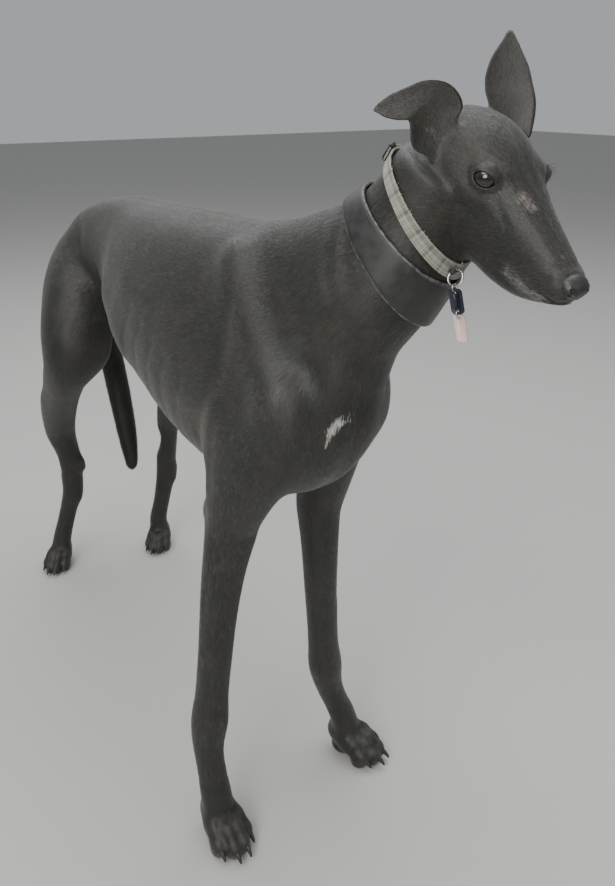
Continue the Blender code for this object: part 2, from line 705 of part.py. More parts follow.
def makeFlesh():
    mesh = bmesh.new()
    trunk(mesh)
    neck(mesh)
    muscleBalls(mesh)
    for rows in legRows.values():
        leg(mesh, rows)
    tail(mesh)
    skull(mesh)
    item = makeItem(mesh, "flesh")
    remesh(item, bodyVoxel)
    def strength(p):
        return np.clip((p[:, 2] - 0.42) / 0.10, 0.06, 1) * np.clip((0.20 - p[:, 0]) / 0.04, 0.2, 1)

    relax(item, 40, strength)
    thin(item, bodyTriangles)
    cuts = list(cutRows.values())
    cuts += [((x, y, pawCutHeight), (0, 0, 1), 0.055) for x, y, _, _ in pawRows.values()]
    for middle, direction, half in cuts:
        tool = bmesh.new()
        slab(tool, middle, direction, half)
        combine(item, makeItem(tool, "cut"), "DIFFERENCE")
    return item


def makeClaw(name, toe):
    x, y, heading, size = pawRows[name]
    offset, reach = toeRows[toe]
    place = Matrix.Translation((x, y, 0)) @ Matrix.Rotation(math.radians(heading), 4, "Z")
    lean = Matrix.Rotation(math.radians(90 + clawDrop), 4, "Y")
    middle = Matrix.Translation((reach * size + 0.0015, offset * 1.07 * size, clawHeight * size))
    mesh = bmesh.new()
    bmesh.ops.create_cone(
        mesh, cap_ends=True, segments=10, radius1=clawRadii[0] * size, radius2=clawRadii[1] * size,
        depth=clawLength * size, matrix=place @ middle @ lean,
    )
    return makeItem(mesh, "claw")


def bodyTree(names):
    whole = bmesh.new()
    for name in names:
        whole.from_mesh(nodes[name].data)
    tree = BVHTree.FromBMesh(whole)
    whole.free()
    return tree


def hullReach(reach):
    # A strap spans hollows, so its radii follow the convex hull of what it goes round.
    angles = 2 * np.pi * np.arange(len(reach)) / len(reach)
    points = np.stack([reach * np.cos(angles), reach * np.sin(angles)], 1)
    support = np.array([(points @ (np.cos(a), np.sin(a))).max() for a in angles])
    found = []
    for a in angles:
        lean = np.cos(angles - a)
        open_ = lean > 0.2
        found.append((support[open_] / lean[open_]).min())
    return np.array(found)


class Strap:
    # The closed course of a collar: angle 0 at the nape, growing toward the dog's left.
    def __init__(self, name, tree):
        rows = collars[name]
        self.middle = Vector(rows["middle"])
        self.along = Vector(rows["along"]).normalized()
        up = Vector((0, 0, 1))
        self.up = (up - self.along * up.dot(self.along)).normalized()
        self.left = self.up.cross(self.along).normalized()
        self.thick = rows["thick"]
        angles = 2 * np.pi * np.arange(collarSteps) / collarSteps
        share = (1 - np.cos(angles)) / 2
        self.half = rows["half"][0] + (rows["half"][1] - rows["half"][0]) * share
        slack = rows["slack"][0] + (rows["slack"][1] - rows["slack"][0]) * share
        table = []
        for step in (-1.0, -0.5, 0.1, 0.5, 1.0):
            reach = []
            for angle, half in zip(angles, self.half):
                out = self.up * math.cos(angle) + self.left * math.sin(angle)
                start = self.middle + self.along * (step * half) + out * collarReach
                hit = tree.ray_cast(start, -out)
                reach.append(collarReach - hit[3])
            table.append(hullReach(np.array(reach)) + slack)
        back, low, level, high, front = table
        lift = np.maximum(0, np.maximum.reduce([
            low - (0.75 * back + 0.25 * front),
            level - (back + front) / 2,
            high - (0.25 * back + 0.75 * front),
        ]))
        self.back, self.front = back + lift, front + lift

    def at(self, angle, step, lift):
        # A point at this angle, at this share of the half width, this far above the strap's inner face.
        place = (angle % (2 * math.pi)) / (2 * math.pi) * collarSteps
        i = int(place) % collarSteps
        j = (i + 1) % collarSteps
        t = place - int(place)
        half = (1 - t) * self.half[i] + t * self.half[j]
        back = (1 - t) * self.back[i] + t * self.back[j]
        front = (1 - t) * self.front[i] + t * self.front[j]
        reach = back + (front - back) * (step + 1) / 2 + lift
        out = self.up * math.cos(angle) + self.left * math.sin(angle)
        return self.middle + self.along * (step * half) + out * reach


def makeBand(name, strap, start=None, end=None, low=0.0, thick=None, share=1.0, count=10):
    # A whole strap, or a piece of it between two angles, raised by "low" over its inner face.
    mesh = bmesh.new()
    thick = thick or strap.thick
    whole = start is None
    if whole:
        angles = [2 * math.pi * i / collarSteps for i in range(collarSteps)]
    else:
        angles = [math.radians(start + (end - start) * i / count) for i in range(count + 1)]
    edge = 0.3 * thick
    inner = [(-1, edge), (-0.93, 0), (0.93, 0), (1, edge)]
    section = inner + [(step, thick - height) for step, height in inner[::-1]]
    rows = []
    for angle in angles:
        rows.append([mesh.verts.new(strap.at(angle, share * step, low + lift)) for step, lift in section])
    pairs = list(zip(rows, rows[1:] + rows[:1])) if whole else list(zip(rows, rows[1:]))
    count = len(section)
    for first, second in pairs:
        for i in range(count):
            j = (i + 1) % count
            mesh.faces.new((first[i], first[j], second[j], second[i]))
    if not whole:
        mesh.faces.new(rows[0])
        mesh.faces.new(rows[-1])
    return makeItem(mesh, name)


def torus(mesh, middle, axis, radius, wire, around=24, across=6):
    axis = Vector(axis).normalized()
    turn = axis.to_track_quat("Z", "Y").to_matrix().to_4x4()
    place = Matrix.Translation(middle) @ turn
    circle = []
    for k in range(across):
        angle = 2 * math.pi * k / across
        point = Vector((radius + wire * math.cos(angle), 0, wire * math.sin(angle)))
        circle.append(mesh.verts.new(place @ point))
    edges = [mesh.edges.new((circle[k], circle[(k + 1) % across])) for k in range(across)]
    bmesh.ops.spin(
        mesh, geom=circle + edges, cent=middle, axis=axis, dvec=(0, 0, 0),
        angle=2 * math.pi, steps=around, use_merge=True,
    )
    bmesh.ops.remove_doubles(mesh, verts=mesh.verts, dist=1e-6)


def makeTag(name, top, face, sizes, lowerHole):
    # A rounded plate hanging below its upper hole; "face" is the way that it looks.
    down = Vector(hangWay).normalized()
    across = down.cross(face).normalized()
    turn = Matrix((across, down, face)).transposed().to_4x4()
    w, h, r = sizes["width"] / 2, sizes["height"], sizes["corner"]
    mesh = bmesh.new()
    size = Matrix.Diagonal((2 * w, h, sizes["thick"], 1))
    middle = top + down * (h / 2 - tagHole - tagRim)
    bmesh.ops.create_cube(mesh, size=1, matrix=size)
    tall = [e for e in mesh.edges if abs(e.verts[0].co.z - e.verts[1].co.z) > sizes["thick"] / 2]
    bmesh.ops.bevel(mesh, geom=tall, offset=r, segments=5, profile=0.5, affect="EDGES", material=-1)
    rim = [e for e in mesh.edges if abs(e.verts[0].co.z - e.verts[1].co.z) < 1e-6]
    edge = sizes["thick"] * 0.22
    bmesh.ops.bevel(mesh, geom=rim, offset=edge, segments=2, profile=0.5, affect="EDGES", material=-1)
    bmesh.ops.transform(mesh, matrix=Matrix.Translation(middle) @ turn, verts=mesh.verts)
    item = makeItem(mesh, name)
    holes = [top] + ([top + down * (h - 2 * tagHole - 2 * tagRim)] if lowerHole else [])
    for hole in holes:
        mesh = bmesh.new()
        bmesh.ops.create_cone(
            mesh, cap_ends=True, segments=16, radius1=tagHole, radius2=tagHole,
            depth=sizes["thick"] * 3, matrix=Matrix.Translation(hole) @ turn,
        )
        combine(item, makeItem(mesh, "hole"), "DIFFERENCE")
    keepLargest(item)
    return item, holes[-1]


def makeThroatPieces(strap):
    # A sewn loop, a ring through it and two tags that hang from the ring, swung as in a stride.
    pieces = {}
    throat = math.radians(loopAngle)
    out = strap.at(throat, 0, 1) - strap.at(throat, 0, 0)
    base = strap.at(throat, loopStep, strap.thick)
    loopMiddle = base + out * (ringWire + loopLift)
    side = out.cross(strap.along).normalized()
    mesh = bmesh.new()
    rows = []
    inner, outer, deep = ringWire + loopPlay, ringWire + loopPlay + loopWall, ringWire
    for step in (-loopHalf, loopHalf):
        shell, hollow = [], []
        for k in range(13):
            angle = math.pi * k / 12
            shell.append((outer * math.cos(angle), outer * math.sin(angle)))
            hollow.append((inner * math.cos(angle), inner * math.sin(angle)))
        shape = [(outer, -deep)] + shell + [(-outer, -deep), (-inner, -deep)]
        shape += hollow[::-1] + [(inner, -deep)]
        centre = loopMiddle + strap.along * step
        rows.append([mesh.verts.new(centre + side * a + out * b) for a, b in shape])
    count = len(rows[0])
    for i in range(count):
        j = (i + 1) % count
        mesh.faces.new((rows[0][i], rows[0][j], rows[1][j], rows[1][i]))
    for row in rows:
        mesh.faces.new(row)
    bmesh.ops.triangulate(mesh, faces=mesh.faces[:])
    pieces["collar_loop"] = makeItem(mesh, "collar_loop")
    mesh = bmesh.new()
    middle = loopMiddle + out * ringRadius
    torus(mesh, middle, side, ringRadius, ringWire)
    pieces["collar_ring"] = makeItem(mesh, "collar_ring")
    down = Vector(hangWay).normalized()
    steepest = (down - side * down.dot(side)).normalized()
    low = middle + steepest * ringRadius
    across = side.cross(steepest).normalized()
    face = down.cross(across).normalized()
    hang = linkRadius - ringWire - linkWire - linkGap
    mesh = bmesh.new()
    linkMiddle = low + down * hang
    torus(mesh, linkMiddle, across, linkRadius, linkWire, 16, 5)
    pieces["tag_link_upper"] = makeItem(mesh, "tag_link_upper")
    drop = linkRadius + tagHole - linkWire - linkGap
    pieces["tag_dark"], hole = makeTag("tag_dark", linkMiddle + down * drop, face, darkTag, True)
    mesh = bmesh.new()
    linkMiddle = hole + down * (linkRadius - (tagHole - linkWire - linkGap))
    torus(mesh, linkMiddle, across, linkRadius, linkWire, 16, 5)
    pieces["tag_link_lower"] = makeItem(mesh, "tag_link_lower")
    pieces["tag_pale"], hole = makeTag("tag_pale", linkMiddle + down * drop, face, paleTag, False)
    return pieces


seeds = {
    "torso": (-0.15, -0.02, 0.60),
    "neck": (0.140, 0.014, 0.708),
    "tail": (-0.65, 0.035, 0.38),
    "leg_front_right": (0.012, -0.095, 0.28),
    "leg_front_left": (0.0, 0.045, 0.28),
    "leg_hind_right": (-0.49, -0.09, 0.44),
    "leg_hind_left": (-0.46, 0.085, 0.44),
}


def nearestIsland(found, seed):
    def distance(part):
        tree = BVHTree.FromBMesh(part)
        return tree.find_nearest(Vector(seed))[3]

    inside = [part for part in found if abs(part.calc_volume()) > 5e-5]
    return min(inside, key=distance)


clearScene()
bench = bpy.data.collections.new("workbench")
bpy.context.scene.collection.children.link(bench)
product = bpy.data.collections.new("greyhound")
bpy.context.scene.collection.children.link(product)
nodes = {}

flesh = makeFlesh()
found = islands(flesh)
for name, seed in seeds.items():
    nodes[name] = makeItem(nearestIsland(found, seed).copy(), name)
head = makeHead()
cuts = bmesh.new()
slab(cuts, *cutRows["head"])
combine(head, makeItem(cuts, "headCut"), "DIFFERENCE")
headParts = islands(head)
nodes["head"] = makeItem(nearestIsland(headParts, headPlace).copy(), "head_node")
nodes["nose"] = makeNose()
for earName, side in (("left", 1), ("right", -1)):
    nodes["eye_" + earName] = makeEye("eye_" + earName, side)
    ear = makeEar("ear_" + earName, earRows[earName])
    combine(ear, grown(nodes["head"], partGap), "DIFFERENCE")
    keepLargest(ear)
    nodes["ear_" + earName] = ear
for name in pawRows:
    mesh = bmesh.new()
    paw(mesh, name)
    item = makeItem(mesh, "paw_" + name)
    remesh(item, pawVoxel)
    relax(item, 4)
    thin(item, pawTriangles)
    cutFlat(item, 0.0, True)
    cutFlat(item, pawCutHeight - partGap / 2, False)
    keepLargest(item)
    nodes["paw_" + name] = item

    solid = grown(item, partGap)
    for toe in range(len(toeRows)):
        claw = makeClaw(name, toe)
        combine(claw, solid, "DIFFERENCE")
        keepLargest(claw)
        nodes["claw_" + name + "_" + str(toe + 1)] = claw

tree = bodyTree(["neck", "head", "torso"])
narrow = Strap("narrow", tree)
wide = Strap("wide", tree)
nodes["collar_narrow"] = makeBand("collar_narrow", narrow)
nodes["collar_wide"] = makeBand("collar_wide", wide)
over = narrow.thick + partGap
start, end, low, thick, share = strapEnd
nodes["collar_strap_end"] = makeBand("collar_strap_end", narrow, start, end, over + low, thick, share, 8)
start, end, low, thick, share = sliderFrame
frame = makeBand("collar_slider", narrow, start, end, over + low, thick, share, 4)
start, end, low, thick, share = sliderHole
combine(frame, makeBand("hole", narrow, start, end, over + low, thick, share, 4), "DIFFERENCE")
keepLargest(frame)
nodes["collar_slider"] = frame
start, end, low, thick, share = clasp
nodes["collar_clasp"] = makeBand("collar_clasp", narrow, start, end, over + low, thick, share, 6)
nodes.update(makeThroatPieces(narrow))


def materialFor(name):
    kinds = {
        "collar_narrow": "tartan_fabric",
        "collar_strap_end": "tartan_fabric",
        "collar_loop": "tartan_fabric",
        "collar_slider": "black_plastic",
        "collar_clasp": "black_plastic",
        "collar_wide": "black_leather",
        "collar_ring": "steel",
        "tag_link_upper": "steel",
        "tag_link_lower": "steel",
        "tag_dark": "navy_plastic",
        "tag_pale": "pale_plastic",
        "nose": "nose_skin",
    }
    if name.startswith("eye"):
        return "eye"
    if name.startswith("claw"):
        return "claw"
    return kinds.get(name, "coat")


def paint(item, kind):
    material = bpy.data.materials.get(item.name) or bpy.data.materials.new(item.name)
    material.use_nodes = True
    shader = material.node_tree.nodes["Principled BSDF"]
    red, green, blue, roughness, metallic = coats[kind]
    shader.inputs["Base Color"].default_value = (red, green, blue, 1)
    shader.inputs["Roughness"].default_value = roughness
    shader.inputs["Metallic"].default_value = metallic
    item.data.materials.clear()
    item.data.materials.append(material)


corners = np.vstack([pointsOf(item) for item in nodes.values()])
low, high = corners.min(axis=0), corners.max(axis=0)
shift = Vector((-(low[0] + high[0]) / 2, -(low[1] + high[1]) / 2, -low[2]))
for item in bench.objects:
    if item not in nodes.values():
        item.name = "tool_" + item.name
for name, item in nodes.items():
    item.name = name
    item.data.name = name
    item.data.transform(Matrix.Translation(shift))
    item.data.shade_smooth()
    item.data.set_sharp_from_angle(angle=math.radians(48))
    paint(item, materialFor(name))
    bench.objects.unlink(item)
    product.objects.link(item)
bench.hide_render = True
for item in bench.objects:
    item.hide_render = True
    item.display_type = "WIRE"
print("shift", [round(value, 6) for value in shift])
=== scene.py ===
import math

import bmesh
import bpy
import numpy as np
from mathutils import Matrix, Vector
from mathutils.bvhtree import BVHTree


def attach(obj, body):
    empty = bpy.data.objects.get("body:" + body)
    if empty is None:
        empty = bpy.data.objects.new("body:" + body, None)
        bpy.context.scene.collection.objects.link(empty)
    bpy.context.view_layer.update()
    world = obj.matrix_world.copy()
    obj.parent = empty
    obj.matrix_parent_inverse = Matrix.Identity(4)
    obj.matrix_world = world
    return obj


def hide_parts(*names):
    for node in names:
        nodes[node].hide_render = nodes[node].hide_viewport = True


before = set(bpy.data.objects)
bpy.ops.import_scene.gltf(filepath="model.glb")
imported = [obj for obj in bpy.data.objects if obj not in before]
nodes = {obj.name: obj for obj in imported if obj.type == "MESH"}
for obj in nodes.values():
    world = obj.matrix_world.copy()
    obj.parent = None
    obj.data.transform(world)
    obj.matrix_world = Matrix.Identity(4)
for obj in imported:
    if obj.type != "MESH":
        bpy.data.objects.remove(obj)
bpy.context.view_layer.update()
print("stage: frame loaded")

# The tables below run from tail to nose in x, to the dog's left in y and up in z.
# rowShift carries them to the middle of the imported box.
rowShift = Vector((0.18102, -0.00204, 0.0))

body = {
    "voxel": 0.0041,
    "smooth": 70,
    "coatDepth": 0.0010,
    # x, y, top, bottom, widest level, half width, squareness
    "trunk": [
        (-0.650, 0.000, 0.602, 0.565, 0.586, 0.016, 2.0),
        (-0.630, 0.000, 0.620, 0.548, 0.590, 0.034, 2.1),
        (-0.600, 0.000, 0.638, 0.534, 0.595, 0.050, 2.2),
        (-0.550, 0.000, 0.663, 0.532, 0.605, 0.060, 2.2),
        (-0.490, -0.001, 0.685, 0.540, 0.615, 0.064, 2.2),
        (-0.430, -0.003, 0.697, 0.543, 0.622, 0.062, 2.2),
        (-0.370, -0.006, 0.701, 0.530, 0.622, 0.064, 2.2),
        (-0.300, -0.010, 0.704, 0.498, 0.610, 0.076, 2.2),
        (-0.220, -0.014, 0.709, 0.464, 0.595, 0.088, 2.2),
        (-0.140, -0.017, 0.714, 0.442, 0.580, 0.092, 2.2),
        (-0.060, -0.019, 0.717, 0.432, 0.570, 0.089, 2.2),
        (0.000, -0.020, 0.722, 0.434, 0.570, 0.080, 2.2),
        (0.050, -0.020, 0.730, 0.444, 0.570, 0.070, 2.1),
        (0.100, -0.018, 0.712, 0.468, 0.570, 0.054, 2.1),
        (0.133, -0.014, 0.665, 0.505, 0.575, 0.038, 2.1),
        (0.150, -0.012, 0.620, 0.545, 0.580, 0.022, 2.0),
    ],
    # x, y, z, half depth, half width
    "neck": [
        (0.000, -0.019, 0.610, 0.080, 0.058),
        (0.070, -0.014, 0.648, 0.084, 0.058),
        (0.119, 0.001, 0.6795, 0.0765, 0.054),
        (0.151, 0.020, 0.7145, 0.0605, 0.0500),
        (0.169, 0.032, 0.7480, 0.0485, 0.0470),
        (0.188, 0.042, 0.779, 0.0430, 0.0465),
    ],
    # x, y, z, radius
    "tail": [
        (-0.600, 0.000, 0.608, 0.022),
        (-0.640, 0.002, 0.592, 0.021),
        (-0.668, 0.008, 0.548, 0.0185),
        (-0.668, 0.020, 0.480, 0.0170),
        (-0.655, 0.033, 0.390, 0.0160),
        (-0.640, 0.041, 0.300, 0.0150),
        (-0.630, 0.046, 0.225, 0.0120),
        (-0.622, 0.047, 0.172, 0.0060),
    ],
    # x, side, z, three radii, pitch
    "muscles": {
        "blade": (0.048, 0.046, 0.635, 0.044, 0.027, 0.088, -28),
        "shoulder": (0.100, 0.049, 0.564, 0.035, 0.027, 0.050, -10),
        "triceps": (0.018, 0.058, 0.520, 0.054, 0.026, 0.080, -6),
        "breast": (0.100, 0.024, 0.525, 0.030, 0.028, 0.048, 20),
        "elbow": (-0.016, 0.060, 0.414, 0.018, 0.017, 0.028, 10),
        "loin": (-0.330, 0.024, 0.678, 0.150, 0.025, 0.023, 0),
        "haunch": (-0.500, 0.032, 0.632, 0.072, 0.030, 0.044, -16),
        "seat": (-0.598, 0.032, 0.560, 0.036, 0.026, 0.048, -14),
    },
    "muscleOffset": -0.020,
    "tailFuller": 0.0036,
    # Lines on one side that are softened further: back of the thigh and seat.
    "soften": [
        [(-0.600, 0.050, 0.540), (-0.555, 0.070, 0.505), (-0.515, 0.082, 0.462), (-0.508, 0.088, 0.425)],
        [(-0.630, 0.000, 0.555), (-0.585, 0.010, 0.535), (-0.560, 0.030, 0.520)],
    ],
    "softReach": 0.048,
    "softRounds": 100,
    # Front of the thigh on one side, made fuller toward the belly.
    "groin": [(-0.430, 0.046, 0.525), (-0.428, 0.052, 0.490), (-0.436, 0.058, 0.462)],
    "groinFuller": 0.019,
    "groinReach": 0.040,
}

# x, y, z, reach forward, reach backward, half width, heading
legs = {
    "front_right": [
        (0.102, -0.064, 0.575, 0.034, 0.045, 0.025, 0),
        (0.080, -0.072, 0.520, 0.038, 0.052, 0.028, 0),
        (0.045, -0.077, 0.468, 0.040, 0.050, 0.030, 0),
        (0.024, -0.079, 0.430, 0.035, 0.044, 0.029, 0),
        (0.018, -0.080, 0.405, 0.030, 0.034, 0.0275, 0),
        (0.016, -0.087, 0.369, 0.0245, 0.027, 0.0245, 0),
        (0.014, -0.093, 0.330, 0.0215, 0.0235, 0.0225, 0),
        (0.010, -0.096, 0.290, 0.0195, 0.0215, 0.0210, 0),
        (0.007, -0.100, 0.242, 0.0185, 0.0200, 0.0200, 0),
        (0.002, -0.103, 0.195, 0.0188, 0.0195, 0.0200, 0),
        (0.000, -0.106, 0.158, 0.0205, 0.0225, 0.0225, 0),
        (-0.002, -0.108, 0.122, 0.0165, 0.0195, 0.0190, 0),
        (0.000, -0.107, 0.094, 0.0155, 0.0165, 0.0175, 0),
        (0.004, -0.105, 0.062, 0.0160, 0.0165, 0.0195, 3),
        (0.010, -0.103, 0.030, 0.0150, 0.0160, 0.0200, 5),
    ],
    "front_left": [
        (0.088, 0.028, 0.575, 0.032, 0.045, 0.024, 0),
        (0.062, 0.032, 0.515, 0.034, 0.050, 0.026, 0),
        (0.032, 0.034, 0.460, 0.036, 0.042, 0.028, 0),
        (0.018, 0.035, 0.425, 0.032, 0.035, 0.0275, 0),
        (0.011, 0.035, 0.398, 0.028, 0.029, 0.0260, 2),
        (0.008, 0.038, 0.360, 0.0245, 0.0245, 0.0235, 4),
        (0.006, 0.041, 0.320, 0.0215, 0.0225, 0.0220, 6),
        (0.002, 0.045, 0.280, 0.0195, 0.0215, 0.0210, 8),
        (-0.003, 0.050, 0.235, 0.0185, 0.0200, 0.0200, 10),
        (-0.009, 0.056, 0.188, 0.0188, 0.0195, 0.0200, 13),
        (-0.014, 0.063, 0.150, 0.0205, 0.0225, 0.0225, 16),
        (-0.017, 0.071, 0.115, 0.0165, 0.0195, 0.0190, 20),
        (-0.017, 0.080, 0.087, 0.0155, 0.0165, 0.0175, 24),
        (-0.014, 0.090, 0.060, 0.0160, 0.0165, 0.0195, 26),
        (-0.008, 0.097, 0.030, 0.0150, 0.0160, 0.0200, 28),
    ],
    "hind_right": [
        (-0.525, -0.040, 0.625, 0.055, 0.062, 0.030, 0),
        (-0.510, -0.060, 0.570, 0.076, 0.083, 0.044, 0),
        (-0.485, -0.077, 0.520, 0.074, 0.080, 0.046, -4),
        (-0.462, -0.091, 0.478, 0.058, 0.070, 0.042, -8),
        (-0.475, -0.097, 0.437, 0.042, 0.054, 0.034, -12),
        (-0.510, -0.097, 0.397, 0.034, 0.043, 0.028, -18),
        (-0.555, -0.092, 0.345, 0.025, 0.033, 0.0240, -24),
        (-0.595, -0.083, 0.290, 0.018, 0.028, 0.0205, -32),
        (-0.612, -0.074, 0.248, 0.019, 0.031, 0.0180, -38),
        (-0.620, -0.068, 0.215, 0.019, 0.027, 0.0185, -40),
        (-0.628, -0.065, 0.180, 0.0165, 0.0200, 0.0175, -40),
        (-0.635, -0.065, 0.145, 0.0150, 0.0165, 0.0170, -40),
        (-0.648, -0.074, 0.095, 0.0140, 0.0150, 0.0160, -40),
        (-0.656, -0.083, 0.055, 0.0140, 0.0155, 0.0175, -40),
        (-0.655, -0.089, 0.028, 0.0140, 0.0150, 0.0180, -40),
    ],
    "hind_left": [
        (-0.515, 0.040, 0.625, 0.055, 0.062, 0.030, 0),
        (-0.495, 0.060, 0.570, 0.076, 0.083, 0.044, 0),
        (-0.468, 0.075, 0.520, 0.074, 0.080, 0.046, 0),
        (-0.440, 0.082, 0.478, 0.058, 0.070, 0.042, -3),
        (-0.445, 0.085, 0.433, 0.042, 0.054, 0.034, -8),
        (-0.478, 0.086, 0.385, 0.034, 0.043, 0.028, -14),
        (-0.520, 0.088, 0.330, 0.025, 0.033, 0.0240, -20),
        (-0.556, 0.095, 0.275, 0.018, 0.028, 0.0205, -28),
        (-0.573, 0.099, 0.236, 0.019, 0.031, 0.0180, -34),
        (-0.582, 0.099, 0.205, 0.019, 0.027, 0.0185, -36),
        (-0.590, 0.099, 0.170, 0.0165, 0.0200, 0.0175, -36),
        (-0.597, 0.098, 0.138, 0.0150, 0.0165, 0.0170, -36),
        (-0.609, 0.094, 0.092, 0.0140, 0.0150, 0.0160, -36),
        (-0.619, 0.090, 0.055, 0.0140, 0.0155, 0.0175, -36),
        (-0.618, 0.091, 0.028, 0.0140, 0.0150, 0.0180, -36),
    ],
}

paws = {
    "voxel": 0.0020,
    "smooth": 6,
    "heelSmooth": 46,
    "cut": 0.074,
    "join": 0.079,
    # middle x, middle y, heading, size
    "rows": {
        "front_right": (0.014, -0.102, 5, 1.0),
        "front_left": (-0.003, 0.100, 28, 1.0),
        "hind_right": (-0.652, -0.092, -40, 0.92),
        "hind_left": (-0.613, 0.088, -36, 0.92),
    },
    # side offset, tip reach
    "toes": [(-0.0185, 0.030), (-0.0065, 0.043), (0.0065, 0.043), (0.0185, 0.030)],
}

head = {
    "voxel": 0.00145,
    "smooth": 86,
    "coatDepth": 0.0005,
    "place": (0.242, 0.055, 0.7745),
    "yaw": -3.0,
    "nod": 30.0,
    "tilt": -2.0,
    "size": 0.86,
    # x, top, bottom, widest level, half width, squareness
    "rows": [
        (-0.112, 0.000, -0.050, -0.022, 0.022, 2.0),
        (-0.096, 0.022, -0.070, -0.022, 0.040, 2.1),
        (-0.068, 0.035, -0.085, -0.018, 0.048, 2.2),
        (-0.038, 0.037, -0.091, -0.015, 0.048, 2.2),
        (-0.010, 0.031, -0.091, -0.015, 0.043, 2.2),
        (0.014, 0.020, -0.083, -0.021, 0.035, 2.2),
        (0.040, 0.008, -0.0815, -0.028, 0.0280, 2.3),
        (0.068, -0.002, -0.0745, -0.031, 0.0232, 2.4),
        (0.092, -0.010, -0.0610, -0.033, 0.0205, 2.4),
        (0.106, -0.015, -0.0495, -0.033, 0.0182, 2.4),
        (0.115, -0.019, -0.044, -0.033, 0.0150, 2.2),
    ],
    # x, side, z, three radii
    "swellings": {
        "cheek": (-0.042, 0.028, -0.042, 0.036, 0.022, 0.038),
        "arch": (-0.030, 0.034, -0.014, 0.038, 0.014, 0.018),
        "brow": (-0.006, 0.022, 0.014, 0.018, 0.010, 0.008),
        "throat": (-0.034, 0.009, -0.075, 0.038, 0.021, 0.025),
        "lip": (0.064, 0.011, -0.044, 0.046, 0.0125, 0.014),
    },
    "cut": ((0.1738, 0.0352, 0.7442), (0.722, 0.3875, 0.573)),
    "cutGap": 0.0035,
    "mouth": [
        (0.117, 0.004, -0.0400), (0.103, 0.017, -0.0425), (0.075, 0.0225, -0.0480), (0.040, 0.0275, -0.0530),
    ],
}

eye = {
    "middle": (-0.003, 0.0305, 0.0055),
    "radius": 0.0125,
    "lid": 0.0016,
    "axis": (0.55, 0.83, 0.08),
    "opening": (0.0128, 0.0094),
}

nose = {
    "middle": (0.1085, 0.0, -0.0262),
    "radii": (0.0125, 0.0152, 0.0118),
    "nostril": (0.1190, 0.0078, -0.0262),
    "nostrilRadii": (0.0050, 0.0024, 0.0034),
}


# Shared shape tools.


def smoothRows(rows, steps):
    table = np.array(rows, float)
    padded = np.vstack([2 * table[0] - table[1], table, 2 * table[-1] - table[-2]])
    found = []
    for i in range(len(table) - 1):
        a, b, c, d = padded[i : i + 4]
        for t in np.linspace(0, 1, steps, endpoint=False):
            bend = (2 * a - 5 * b + 4 * c - d) * t * t + (3 * b - a - 3 * c + d) * t**3
            found.append(0.5 * (2 * b + (c - a) * t + bend))
    found.append(table[-1])
    return np.array(found)


def addRing(mesh, points):
    verts = [mesh.verts.new(point) for point in points]
    return [mesh.edges.new(pair) for pair in zip(verts, verts[1:] + verts[:1])]


def loft(mesh, rings, closed=False):
    loops = [addRing(mesh, ring) for ring in rings]
    for low, high in zip(loops, loops[1:] + (loops[:1] if closed else [])):
        bmesh.ops.bridge_loops(mesh, edges=low + high)
    if not closed:
        for loop in (loops[0], loops[-1]):
            bmesh.ops.edgenet_fill(mesh, edges=loop)


def splitWide(mesh):
    bmesh.ops.triangulate(mesh, faces=[face for face in mesh.faces if len(face.verts) > 4])


def ringAt(middle, side, up, width, above, below, square=2.0, count=28):
    points = []
    for i in range(count):
        angle = 2 * math.pi * i / count
        c, s = math.cos(angle), math.sin(angle)
        across = math.copysign(abs(c) ** (2 / square), c) * width
        rise = math.copysign(abs(s) ** (2 / square), s) * (above if s > 0 else below)
        points.append(middle + side * across + up * rise)
    return points


def pathRings(rows, steps=4):
    table = smoothRows(rows, steps)
    for i, row in enumerate(table):
        before = Vector(table[max(i - 1, 0)][:3])
        after = Vector(table[min(i + 1, len(table) - 1)][:3])
        along = (after - before).normalized()
        heading = math.radians(row[6]) if len(row) == 7 else 0.0
        side = Vector((-math.sin(heading), math.cos(heading), 0))
        side = (side - along * side.dot(along)).normalized()
        yield Vector(row[:3]), side, along.cross(side).normalized(), row[3:6]


def rotation(degrees, axis):
    return Matrix.Rotation(math.radians(degrees), 4, axis)


def turnTo(x, y, z):
    return Matrix((x, y, z)).transposed().to_4x4()


def ball(mesh, middle, radii, turn=None, rows=16):
    matrix = Matrix.Translation(middle) @ (turn or Matrix.Identity(4)) @ Matrix.Diagonal((*radii, 1))
    bmesh.ops.create_uvsphere(mesh, u_segments=rows * 3 // 2, v_segments=rows, radius=1, matrix=matrix)


def addObject(name, data):
    item = bpy.data.objects.new(name, data)
    bpy.context.scene.collection.objects.link(item)
    return item


def makeItem(mesh, name):
    bmesh.ops.recalc_face_normals(mesh, faces=mesh.faces[:])
    data = bpy.data.meshes.new(name)
    mesh.to_mesh(data)
    mesh.free()
    return addObject(name, data)


def bake(item):
    graph = bpy.context.evaluated_depsgraph_get()
    data = bpy.data.meshes.new_from_object(item.evaluated_get(graph))
    item.modifiers.clear()
    item.data = data


def remesh(item, voxel):
    step = item.modifiers.new("skin", "REMESH")
    step.mode = "VOXEL"
    step.voxel_size = voxel
    bake(item)


def carve(item, tool, kind="DIFFERENCE"):
    step = item.modifiers.new("carve", "BOOLEAN")
    step.operation = kind
    step.solver = "MANIFOLD"
    step.object = tool
    bake(item)
    bpy.data.objects.remove(tool)


def treeOf(item):
    mesh = bmesh.new()
    mesh.from_mesh(item.data)
    tree = BVHTree.FromBMesh(mesh)
    mesh.free()
    return tree


def readVertices(item, field):
    flat = np.empty(len(item.data.vertices) * 3, np.float32)
    item.data.vertices.foreach_get(field, flat)
    return flat.reshape(-1, 3).astype(float)


def pointsOf(item):
    return readVertices(item, "co")


def normalsOf(item):
    return readVertices(item, "normal")


